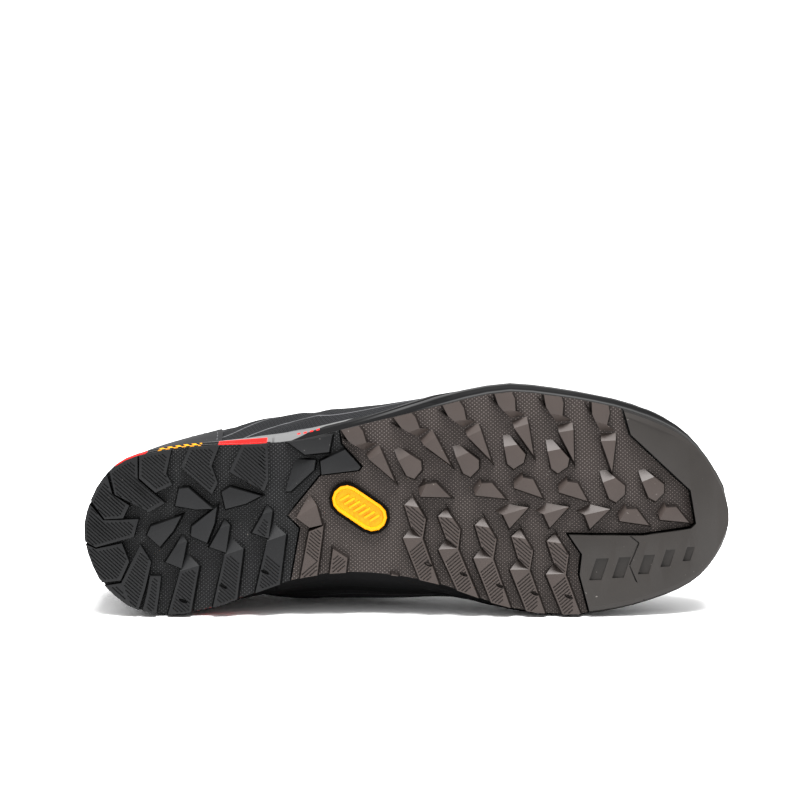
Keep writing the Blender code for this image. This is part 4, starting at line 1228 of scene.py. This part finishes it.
class SHOE_OT_sides(bpy.types.Operator):
    """Heel insert, midsole and the inlay at the waist"""

    bl_idname = "shoe.sides"
    bl_label = "Sidewalls"

    def execute(self, context):
        sizes = context.scene.shoe_side
        self.badge(sizes)
        self.insert(sizes)
        self.midsole(sizes)
        return {"FINISHED"}

    def badge(self, sizes):
        """The inlay with a sunk field and short plain ribs in it."""
        obj = twin("sole_badge", "waist_inlay")
        low = min(p.z for p in shoe_points(obj))
        with editing(obj) as edit:
            pick(obj, [f for f in edit.faces if outward(f.normal) > 0.9])
            bpy.ops.mesh.dissolve_limited(angle_limit=math.radians(5))
            bpy.ops.mesh.inset(thickness=0.0004, depth=0.0003)
            bpy.ops.mesh.inset(thickness=0.0010)
            bpy.ops.mesh.inset(thickness=0.0004, depth=-0.0011)
        way = Vector((math.cos(BADGE_TURN), math.sin(BADGE_TURN)))
        ribs = blank("inlay_ribs")
        with editing(ribs, "VERT"):
            for k in range(INLAY_RIBS):
                step = k - INLAY_RIBS // 2
                spot = BADGE_MIDDLE + way * step * INLAY_RIB_PITCH
                bpy.ops.mesh.primitive_cube_add(
                    size=1.0,
                    location=place(spot.x, spot.y, low + 0.0005),
                    rotation=turned_in_plan(BADGE_TURN + INLAY_RIB_TURN),
                    scale=(0.0011, 0.0066 - 0.0004 * abs(step), 0.0012),
                )
        apply_modifier(ribs, "BEVEL", width=0.0002, segments=2)
        material = rubber("inlay_rubber", tuple(sizes.badge), 0.38, dust=0.05).done()
        dress(obj, material, ["sole_badge"])
        smooth(obj, 30)
        dress(ribs, material, [])
        smooth(ribs, 30)

    def insert(self, sizes):
        """The heel insert, black with red patches and yellow marks."""
        obj = twin("heel_insert", "heel_side", quads=True)
        round_edges(obj, 0.0004)
        finish = rubber("insert_rubber", tuple(sizes.dark_foam), 0.36, dust=0.08)
        n = finish.nodes
        x, y, z = n.parts(finish.place)
        inner = inner_side(n, y)
        outer = n.rest(inner)
        red = n.sum(
            *(n.times(outer, n.zone(x, *patch)) for patch in RED_PATCHES),
            n.times(inner, n.zone(x, *INNER_PATCH)),
        )
        marks = n.times(heel_marks(n, x, z, sizes.mark_pitch), outer)
        finish.paint(red, sizes.accent)
        finish.paint(marks, sizes.badge)
        finish.raise_by(marks, 0.0004)
        dress(obj, finish.done(), ["heel_insert"])
        smooth(obj, 30)

    def midsole(self, sizes):
        """The foam layer with its ribbed swell."""
        obj = twin("midsole", "midsole_foam", quads=True)
        round_edges(obj, 0.0006, angle=0.45)
        subdivide(obj, 2, "SIMPLE")
        points = shoe_points(obj)
        lowest = running_level(points)
        attribute(obj, "rise", [p.z - lowest(p.x) for p in points])
        self.swell(obj, points, lowest)
        dress(obj, self.foam(sizes), ["midsole"])
        smooth(obj, 30)

    def swell(self, obj, points, lowest):
        """Ribbed swell of the outer side along the forefoot."""
        tops = {}
        for p in points:
            key = round(p.x / SWELL_STEP)
            tops[key] = max(tops.get(key, 0.0), p.z)
        turn = LIE.to_3x3()
        weights = {}
        for vertex, p in zip(obj.data.vertices, points):
            rise = p.z - lowest(p.x)
            tall = tops[round(p.x / SWELL_STEP)] - lowest(p.x)
            heel, toe = SWELL_RUN
            along = min(1.0, (p.x - SWELL_START) / heel, (SWELL_END - p.x) / toe)
            outer = p.y <= 0 and -(turn @ vertex.normal).y >= SWELL_SIDE
            if outer and along > 0 and 0 < rise < tall:
                wave = math.cos(2 * math.pi * rise / SIDE_RIB_PITCH)
                rib = 1.0 - SWELL_RIB + SWELL_RIB * wave
                bulge = math.sin(math.pi * rise / tall) ** SWELL_POWER
                weights[vertex.index] = along * rib * bulge
        displace(obj, weights, SWELL)

    def foam(self, sizes):
        """Black foam: a grey band that runs out at the waist, patches, marks, ribs, and rib
        crests painted paler as highlights.
        """
        finish = rubber(
            "foam", tuple(sizes.dark_foam), 0.58, dust=0.08, grain=0.00005, specular=0.08
        )
        n = finish.nodes
        x, y, z = n.parts(finish.place)
        rise = read(finish, "rise")
        inner = inner_side(n, y)
        outer = n.rest(inner)
        low = n.times(outer, n.rest(n.step(rise, *PATCH_TOP)))
        reach = n.math("MULTIPLY_ADD", outer, sizes.grey_end - INNER_GREY_END, INNER_GREY_END)
        past = n.math("SUBTRACT", x, n.math("SUBTRACT", reach, GREY_TAPER))
        left = n.math("MAXIMUM", past, 0.0)
        grey = n.step(n.math("MULTIPLY_ADD", left, -GREY_SLOPE, rise), -0.0003, 0.0003)
        finish.paint(grey, sizes.foam)
        finish.paint(n.times(low, n.zone(x, *DARK_PATCH)), sizes.dark_foam)
        red = n.sum(*(n.zone(x, *patch) for patch in RED_PATCHES))
        finish.paint(n.times(low, red), sizes.accent)
        marks_strip = n.times(outer, n.zone(rise, *MARKS_HEIGHT))
        marks = n.times(heel_marks(n, x, z, sizes.mark_pitch), marks_strip)
        finish.paint(marks, sizes.badge)
        dashes = n.times(n.step(n.wave("SINE", x, DASH_PITCH), -0.1, 0.1), n.zone(x, *DASHES))
        dashes_strip = n.times(outer, n.zone(rise, *DASHES_HEIGHT))
        finish.paint(n.times(dashes, dashes_strip), sizes.accent)
        front = n.times(n.step(x, *INNER_RIBS), inner)
        ribs = n.times(n.wave("SINE", rise, SIDE_RIB_PITCH), front)
        finish.raise_by(ribs, INNER_RIB_DEPTH)
        # Painted highlight: the crests of the outer swell's ribs are painted paler.
        crest_highlight = n.step(n.wave("COSINE", rise, SIDE_RIB_PITCH), 0.1, 0.9)
        finish.paint(n.times(crest_highlight, n.step(x, *CREST_HIGHLIGHT_RUN), outer), CREST_HIGHLIGHT_COLOUR)
        return finish.done()


# Start, end, width and depth of each fold.
UPPER_CREASES = (
    ((0.196, -0.044, 0.040), (0.200, 0.030, 0.056), 0.0036, 0.0019),
    ((0.209, -0.044, 0.036), (0.212, 0.026, 0.053), 0.0032, 0.0016),
    ((0.184, -0.046, 0.040), (0.174, -0.044, 0.062), 0.0032, 0.0015),
    ((0.222, -0.036, 0.036), (0.224, 0.020, 0.050), 0.0028, 0.0012),
    ((0.160, -0.048, 0.040), (0.150, -0.042, 0.066), 0.0036, 0.0012),
    ((0.064, -0.040, 0.050), (0.104, -0.036, 0.066), 0.0038, 0.0016),
    ((0.072, 0.034, 0.052), (0.104, 0.030, 0.066), 0.0038, 0.0015),
    ((0.080, -0.042, 0.040), (0.118, -0.040, 0.052), 0.0034, 0.0013),
    ((0.086, 0.033, 0.043), (0.112, 0.030, 0.050), 0.0034, 0.0012),
)


THREAD_COLOUR = (0.09, 0.09, 0.095)
SHEEN = 0.03
# The hollow's middle line: its two ends along the shoe and its height.
HOLLOW = (0.045, 0.250, 0.045)
COLLAR_FRONT = 0.105
LINE_PITCH = 0.0036
LINE_STRENGTH = 0.75


def fabric(name, colour, thread, roughness=0.78, height=0.00016):
    """Woven cloth with a thread's width."""
    finish = Finish(name, colour, roughness, specular=0.12, dust=0.2)
    over = finish.use("weave", Vector=finish.place, Thread=thread).outputs["Height"]
    # Painted shade and highlight: the cloth is darker where its threads dip and paler on their
    # tops.
    shade = finish.nodes.math("MULTIPLY_ADD", over, 0.22, 1.0)
    finish.colour = finish.nodes.scaled(finish.colour, shade)
    finish.raise_by(over, height)
    finish.raise_by(finish.wear.outputs["Grain"], 0.00005)
    finish.shader.inputs["Sheen Weight"].default_value = SHEEN
    return finish


class SHOE_OT_upper(bpy.types.Operator):
    """Fabric upper with its lining, flex creases and printed lines, bored for the lace"""

    bl_idname = "shoe.upper"
    bl_label = "Upper"

    def execute(self, context):
        sizes = context.scene.shoe_upper
        obj = twin("upper", "fabric_upper", quads=True)
        hold_rims(obj)
        subdivide(obj, 2)
        outer = outer_vertices(obj)
        for start, end, width, depth in UPPER_CREASES:
            crease(obj, outer, start, end, width, depth)
        dress(obj, self.shell(sizes), ["upper"])
        self.line_it(obj, sizes)
        cut(obj, bore_cutter())
        smooth(obj, 40)
        return {"FINISHED"}

    def shell(self, sizes):
        """Cloth with thin wavy lines, each at its own height round the shoe."""
        finish = fabric("upper_textile", tuple(sizes.fabric), sizes.weave)
        n = finish.nodes
        x, y, z = n.parts(finish.place)
        height = n.math("MULTIPLY_ADD", n.math("ABSOLUTE", y), -0.45, z)
        slow = n.math("SINE", n.times(x, 46.0))
        quick = n.math("SINE", n.math("MULTIPLY_ADD", x, 105.0, 1.3))
        for value, share in ((slow, 0.0042), (quick, 0.0014), (x, 0.07)):
            height = n.math("MULTIPLY_ADD", value, share, height)
        line = n.rest(n.step(n.math("PINGPONG", height, LINE_PITCH), 0.00022, 0.00046))
        finish.paint(n.times(line, LINE_STRENGTH), sizes.line)
        finish.raise_by(line, 0.00022)
        return finish.done()

    def line_it(self, obj, sizes):
        """Lining on the faces that look into the hollow and on the collar's rim."""
        colour = shaded(sizes.fabric, 0.8)
        obj.data.materials.append(fabric("lining", colour, 0.0011, 0.85).done())
        turn = LIE.to_3x3()
        for face in obj.data.polygons:
            centre = LIE @ face.center
            normal = turn @ face.normal
            x = max(HOLLOW[0], min(HOLLOW[1], centre.x))
            inside = normal.dot(centre - Vector((x, 0.0, HOLLOW[2]))) < 0
            rim = centre.x < COLLAR_FRONT and normal.z > 0.6
            if inside or rim:
                face.material_index = 1


def eyelet_nodes():
    """Names of the twelve eyelets' nodes."""
    return sorted(name for name in frame["nodes"] if name.startswith("eyelet_"))


def eyelet_place(node, under):
    """Middle and outward direction of an eyelet's ring."""
    points = [v.co for v in frame["nodes"][node].data.vertices]
    middle = sum((p.copy() for p in points), Vector()) / len(points)
    spokes = [p - middle for p in points]
    first = max(spokes, key=lambda s: s.length)
    second = max(spokes, key=lambda s: first.cross(s).length)
    normal = first.cross(second).normalized()
    spot = under.find_nearest(middle)[0]
    if normal.dot(middle - spot) < 0:
        normal.negate()
    return middle, normal


BORE_RADIUS = 0.0021
BORE_LENGTH = 0.012


def bore_cutter():
    """Twelve short rods through the eyelets."""
    under = tree_of(frame["nodes"]["upper"])
    cutter = blank("bores")
    with editing(cutter, "VERT"):
        for node in eyelet_nodes():
            middle, normal = eyelet_place(node, under)
            bpy.ops.mesh.primitive_cylinder_add(
                vertices=16,
                radius=BORE_RADIUS,
                depth=BORE_LENGTH,
                location=middle,
                rotation=normal.to_track_quat("Z", "Y").to_euler(),
            )
    return cutter


CHANNEL_WIDTH = 0.0014
CHANNEL_DEPTH = 0.0004
RAND_END_SINK = 0.0008
COUNTER_END_SINK = 0.0006
END_REACH = 0.030
END_PLAIN = 0.012
FACE_SHARE = 0.6
RIBS_START = 0.0012
RIBS_END = 0.0128


class SHOE_OT_overlays(bpy.types.Operator):
    """Toe rand with its ribs, heel counter and eyestay with their sewn borders"""

    bl_idname = "shoe.overlays"
    bl_label = "Overlays"

    def execute(self, context):
        sizes = context.scene.shoe_upper
        under = tree_of(frame["nodes"]["upper"])
        self.rand(sizes, under)
        thread = fabric("thread", THREAD_COLOUR, 0.0004, 0.6).done()
        counter = rubber("counter_film", tuple(sizes.overlay), 0.52, dust=0.15).done()
        suede = fabric("eyestay_fabric", tuple(sizes.overlay), 0.0004, 0.7, 0.00006).done()
        pieces = (
            ("heel_counter", "counter", counter, "counter_film", 0.0022),
            ("eyestay", "lace_stay", suede, "eyestay_film", 0.0016),
        )
        for node, name, material, slot, margin in pieces:
            obj = twin(node, name, quads=True)
            line = seam(obj, under, margin, CHANNEL_WIDTH, CHANNEL_DEPTH)
            subdivide(obj, 2)
            if node == "eyestay":
                cut(obj, bore_cutter())
            else:
                self.sink_ends(obj, self.face_of(obj, under), 1, COUNTER_END_SINK)
            dress(obj, material, [node])
            smooth(obj, 45)
            stitches = sew(name + "_stitches", obj, line, sizes.stitch)
            dress(stitches, thread, [])
        return {"FINISHED"}

    def face_of(self, obj, under):
        """Indices of an overlay's vertices on its face, without those on its border."""
        face = set()
        for index in outer_vertices(obj):
            vertex = obj.data.vertices[index]
            normal = under.find_nearest(vertex.co)[1]
            if vertex.normal.dot(normal) > FACE_SHARE:
                face.add(index)
        return face

    def sink_ends(self, obj, face, forward, metres):
        """Lets an overlay's two ends run out into the upper: forward is 1 or -1, their way."""
        spots = {i: LIE @ obj.data.vertices[i].co for i in face}
        weights = {}
        for side in (-1, 1):
            mine = {i: p.x * forward for i, p in spots.items() if p.y * side > 0}
            start = max(mine.values())
            for index, x in mine.items():
                weights[index] = max(0.0, 1.0 - (start - x) / END_REACH)
        displace(obj, weights, -metres)

    def rand(self, sizes, under):
        """The toe's rubber with ribs that run along it and fade at its two ends."""
        obj = twin("toe_rand", "rubber_rand", quads=True)
        subdivide(obj, 4, "SIMPLE")
        tree = tree_of(frame["nodes"]["midsole"])
        face = self.face_of(obj, under)
        end = min((LIE @ obj.data.vertices[i].co).x for i in face)
        troughs = {}
        for index in face:
            spot = obj.data.vertices[index].co
            point = LIE @ spot
            rise = point.z - (LIE @ tree.find_nearest(spot)[0]).z
            if RIBS_START < rise < RIBS_END:
                turns = 2 * math.pi * (rise - RIBS_START) / sizes.rib_pitch
                fade = max(0.0, min(1.0, (point.x - end - END_PLAIN) / END_REACH))
                troughs[index] = fade * (0.5 - 0.5 * math.cos(turns)) ** 2
        displace(obj, troughs, -sizes.rib_depth)
        self.sink_ends(obj, face, -1, RAND_END_SINK)
        material = rubber("rand_rubber", tuple(sizes.rand), 0.44, dust=0.3).done()
        dress(obj, material, ["toe_rand"])
        smooth(obj, 50)


CUFF_SWELL = 0.0012
SWELL_MARGIN = 0.0014
SWELL_RISE = 0.003
TONGUE_CREASES = (0.088, 0.100, 0.112)
FOOTBED_COLOUR = (0.06, 0.062, 0.066)
WEBBING_PITCH = 0.0024


class SHOE_OT_collar(bpy.types.Operator):
    """Padded cuff, tongue, footbed and the pull loop at the heel"""

    bl_idname = "shoe.collar"
    bl_label = "Collar"

    def execute(self, context):
        sizes = context.scene.shoe_upper
        under = tree_of(frame["nodes"]["upper"])
        knit = fabric("cuff_knit", shaded(sizes.fabric, 1.15), 0.0010, 0.85, 0.0003)
        cuff = twin("collar_cuff", "padded_cuff", quads=True)
        line = seam(cuff, under, 0.0015, 0.0012, 0.0003, even=False)
        hold_rims(cuff)
        subdivide(cuff, 2)
        self.swell(cuff, CUFF_SWELL)
        dress(cuff, knit.done(), ["collar_cuff"])
        smooth(cuff, 50)
        thread = fabric("cuff_thread", THREAD_COLOUR, 0.0004, 0.6).done()
        dress(sew("cuff_stitches", cuff, line, sizes.stitch), thread, [])
        self.tongue(sizes)
        self.footbed()
        self.loop(sizes)
        return {"FINISHED"}

    def swell(self, obj, metres):
        """Rounds a pad outwards, most in its middle."""
        outer = outer_vertices(obj)
        rim = [v for v in obj.data.vertices if v.index not in outer]
        tree = KDTree(len(rim))
        for vertex in rim:
            tree.insert(vertex.co, vertex.index)
        tree.balance()
        weights = {}
        for index in outer:
            away = tree.find(obj.data.vertices[index].co)[2]
            weights[index] = max(0.0, min(1.0, (away - SWELL_MARGIN) / SWELL_RISE))
        displace(obj, weights, metres)

    def tongue(self, sizes):
        """The tongue with three soft folds across it."""
        obj = twin("tongue", "padded_tongue", quads=True)
        subdivide(obj, 2)
        everything = range(len(obj.data.vertices))
        for x in TONGUE_CREASES:
            crease(obj, everything, (x, -0.022, 0.088), (x, 0.012, 0.088), 0.0022, 0.0010)
        knit = fabric("tongue_knit", shaded(sizes.fabric, 1.1), 0.0009, 0.85, 0.00025)
        dress(obj, knit.done(), ["tongue"])
        smooth(obj, 50)

    def footbed(self):
        """The cloth-covered insole."""
        obj = twin("insole", "footbed", quads=True)
        round_edges(obj, 0.001, segments=3)
        finish = fabric("footbed_fabric", FOOTBED_COLOUR, 0.0008, 0.9)
        dress(obj, finish.done(), ["insole"])
        smooth(obj, 40)

    def loop(self, sizes):
        """The pull loop of ribbed webbing."""
        obj = twin("pull_loop", "webbing_loop", quads=True)
        with editing(obj):
            bpy.ops.mesh.select_all(action="SELECT")
            bpy.ops.mesh.subdivide(number_cuts=1)
        round_edges(obj, 0.0003, angle=0.9)
        finish = fabric("webbing", tuple(sizes.lace), 0.0008, 0.7, 0.0002)
        n = finish.nodes
        y = n.parts(finish.place)[1]
        finish.raise_by(n.wave("SINE", y, WEBBING_PITCH), 0.0003)
        dress(obj, finish.done(), ["pull_loop"])
        smooth(obj, 40)


RING_RADIUS = 0.0031
RING_THICKNESS = 0.0009
RING_FLAT = (1, 1, 0.6)
RING_COLOUR = (0.05, 0.05, 0.052)
TUCK_SIZE = (0.0032, 0.0026, 0.0085)
TUCK_DEPTH = 0.0016


class SHOE_OT_laces(bpy.types.Operator):
    """Round eyelets and the flat lace that goes down through them"""

    bl_idname = "shoe.laces"
    bl_label = "Laces"

    def execute(self, context):
        sizes = context.scene.shoe_upper
        under = tree_of(frame["nodes"]["upper"])
        places = []
        for node in eyelet_nodes():
            middle, normal = eyelet_place(node, under)
            turn = normal.to_track_quat("Z", "Y").to_matrix().to_4x4()
            places.append(Matrix.Translation(middle) @ turn)
        self.rings(places)
        woven = fabric("lace_weave", tuple(sizes.lace), 0.0006, 0.7, 0.00025).done()
        lace = twin("lace_crossings", "flat_lace")
        round_edges(lace, 0.0004, angle=0.9)
        dress(lace, woven, ["lace_crossings"])
        smooth(lace, 50)
        lower = [matrix @ Matrix.Translation((0, 0, -TUCK_DEPTH)) for matrix in places]
        tucks = strew("lace_tucks", egg(TUCK_SIZE, 12, 8), lower)
        dress(tucks, woven, [])
        smooth(tucks, 60)
        return {"FINISHED"}

    def rings(self, places):
        """Twelve flattened rings, one for each eyelet."""
        bpy.ops.object.select_all(action="DESELECT")
        bpy.ops.mesh.primitive_torus_add(
            major_segments=24,
            minor_segments=8,
            major_radius=RING_RADIUS,
            minor_radius=RING_THICKNESS,
        )
        seed = bpy.context.object
        seed.scale = RING_FLAT
        bpy.ops.object.transform_apply(scale=True)
        rings = strew("eyelet_rings", seed, places)
        metal = Finish("eyelet_metal", RING_COLOUR, 0.35, specular=0.6, dust=0.1)
        metal.raise_by(metal.wear.outputs["Grain"], 0.00002)
        dress(rings, metal.done(), eyelet_nodes())
        smooth(rings, 60)


FLOOR_SIZE = 60.0
ROOM_STRENGTH = 1.04
LIGHT_PLACE = Vector((0.10, -0.35, 1.30))
LIGHT_TARGET = Vector((0.0, -0.05, 0.05))
LIGHT_SIZE = (0.9, 0.5)
LIGHT_POWER = 40.0


class SHOE_OT_stage(bpy.types.Operator):
    """Flat pale floor, an even room with one soft light from above, and the camera"""

    bl_idname = "shoe.stage"
    bl_label = "Stage"

    def execute(self, context):
        sizes = context.scene.shoe_stage
        self.add_floor(sizes)
        self.add_lights(context)
        self.add_camera(context, sizes)
        return {"FINISHED"}

    def add_floor(self, sizes):
        """A plane that reaches far past the picture."""
        bpy.ops.mesh.primitive_plane_add(size=FLOOR_SIZE, location=(0.0, 0.0, 0.0))
        floor = bpy.context.object
        floor.name = "floor"
        material = bpy.data.materials.new("pale_floor")
        material.use_nodes = True
        shader = material.node_tree.nodes["Principled BSDF"]
        shader.inputs["Base Color"].default_value = (*sizes.floor, 1.0)
        shader.inputs["Roughness"].default_value = 0.55
        shader.inputs["Specular IOR Level"].default_value = 0.2
        floor.data.materials.append(material)

    def add_lights(self, context):
        """An even white room and a wide light above and before the shoe."""
        world = bpy.data.worlds.new("soft_room")
        world.use_nodes = True
        background = world.node_tree.nodes["Background"]
        background.inputs["Color"].default_value = (1.0, 1.0, 1.0, 1.0)
        background.inputs["Strength"].default_value = ROOM_STRENGTH
        context.scene.world = world
        light = bpy.data.lights.new("top_light", "AREA")
        light.shape = "RECTANGLE"
        light.size, light.size_y = LIGHT_SIZE
        light.energy = LIGHT_POWER
        obj = bpy.data.objects.new("top_light", light)
        obj.location = LIGHT_PLACE
        way = LIGHT_TARGET - LIGHT_PLACE
        obj.rotation_euler = way.to_track_quat("-Z", "Y").to_euler()
        context.scene.collection.objects.link(obj)
        context.scene.view_settings.view_transform = "Standard"
        context.scene.view_settings.look = "Medium High Contrast"

    def add_camera(self, context, sizes):
        """Aims past the tread's middle so that it lands on its own pixel."""
        data = bpy.data.cameras.new("photo_camera")
        data.lens = sizes.lens
        camera = bpy.data.objects.new("photo_camera", data)
        context.scene.collection.objects.link(camera)
        context.scene.camera = camera
        middle = place(SOLE_LENGTH / 2, 0.0, 0.0)
        pixels = sizes.lens / data.sensor_width * IMAGE_WIDTH
        half = IMAGE_WIDTH / 2
        below = math.atan((sizes.tread_row - half) / pixels)
        right = math.atan((sizes.tread_column - half) / pixels)
        away = Vector((0.0, -math.cos(sizes.elevation), math.sin(sizes.elevation)))
        camera.location = middle + away * sizes.distance
        down = sizes.elevation - below
        camera.rotation_euler = (math.pi / 2 - down, 0.0, right)


class SHOE_PT_panel(bpy.types.Panel):
    """Sizes and colours of the shoe, with a button for each of its pieces"""

    bl_idname = "SHOE_PT_panel"
    bl_label = "Approach shoe"
    bl_space_type = "VIEW_3D"
    bl_region_type = "UI"
    bl_category = "Shoe"

    def draw(self, context):
        layout = self.layout
        for owner in ("shoe_tread", "shoe_side", "shoe_upper", "shoe_stage"):
            settings = getattr(context.scene, owner)
            for key in settings.__annotations__:
                layout.prop(settings, key)
        for operator in OPERATORS:
            layout.operator(operator.bl_idname)


OPERATORS = (
    SHOE_OT_stage,
    SHOE_OT_tread,
    SHOE_OT_sides,
    SHOE_OT_upper,
    SHOE_OT_overlays,
    SHOE_OT_collar,
    SHOE_OT_laces,
)
SETTINGS = (
    ("shoe_tread", TreadSizes),
    ("shoe_side", SideSizes),
    ("shoe_upper", UpperSizes),
    ("shoe_stage", StageSizes),
)


def register():
    """Adds the settings, operators and panel."""
    for name, kind in SETTINGS:
        bpy.utils.register_class(kind)
        setattr(bpy.types.Scene, name, PointerProperty(type=kind))
    for kind in (*OPERATORS, SHOE_PT_panel):
        bpy.utils.register_class(kind)


def unregister():
    """Takes the settings, operators and panel away again."""
    for kind in (SHOE_PT_panel, *reversed(OPERATORS)):
        bpy.utils.unregister_class(kind)
    for name, kind in reversed(SETTINGS):
        delattr(bpy.types.Scene, name)
        bpy.utils.unregister_class(kind)


def main():
    """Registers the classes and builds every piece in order."""
    register()
    bpy.ops.shoe.stage()
    bpy.ops.shoe.tread()
    bpy.ops.shoe.sides()
    bpy.ops.shoe.upper()
    bpy.ops.shoe.overlays()
    bpy.ops.shoe.collar()
    bpy.ops.shoe.laces()
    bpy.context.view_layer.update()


if __name__ == "__main__":
    main()
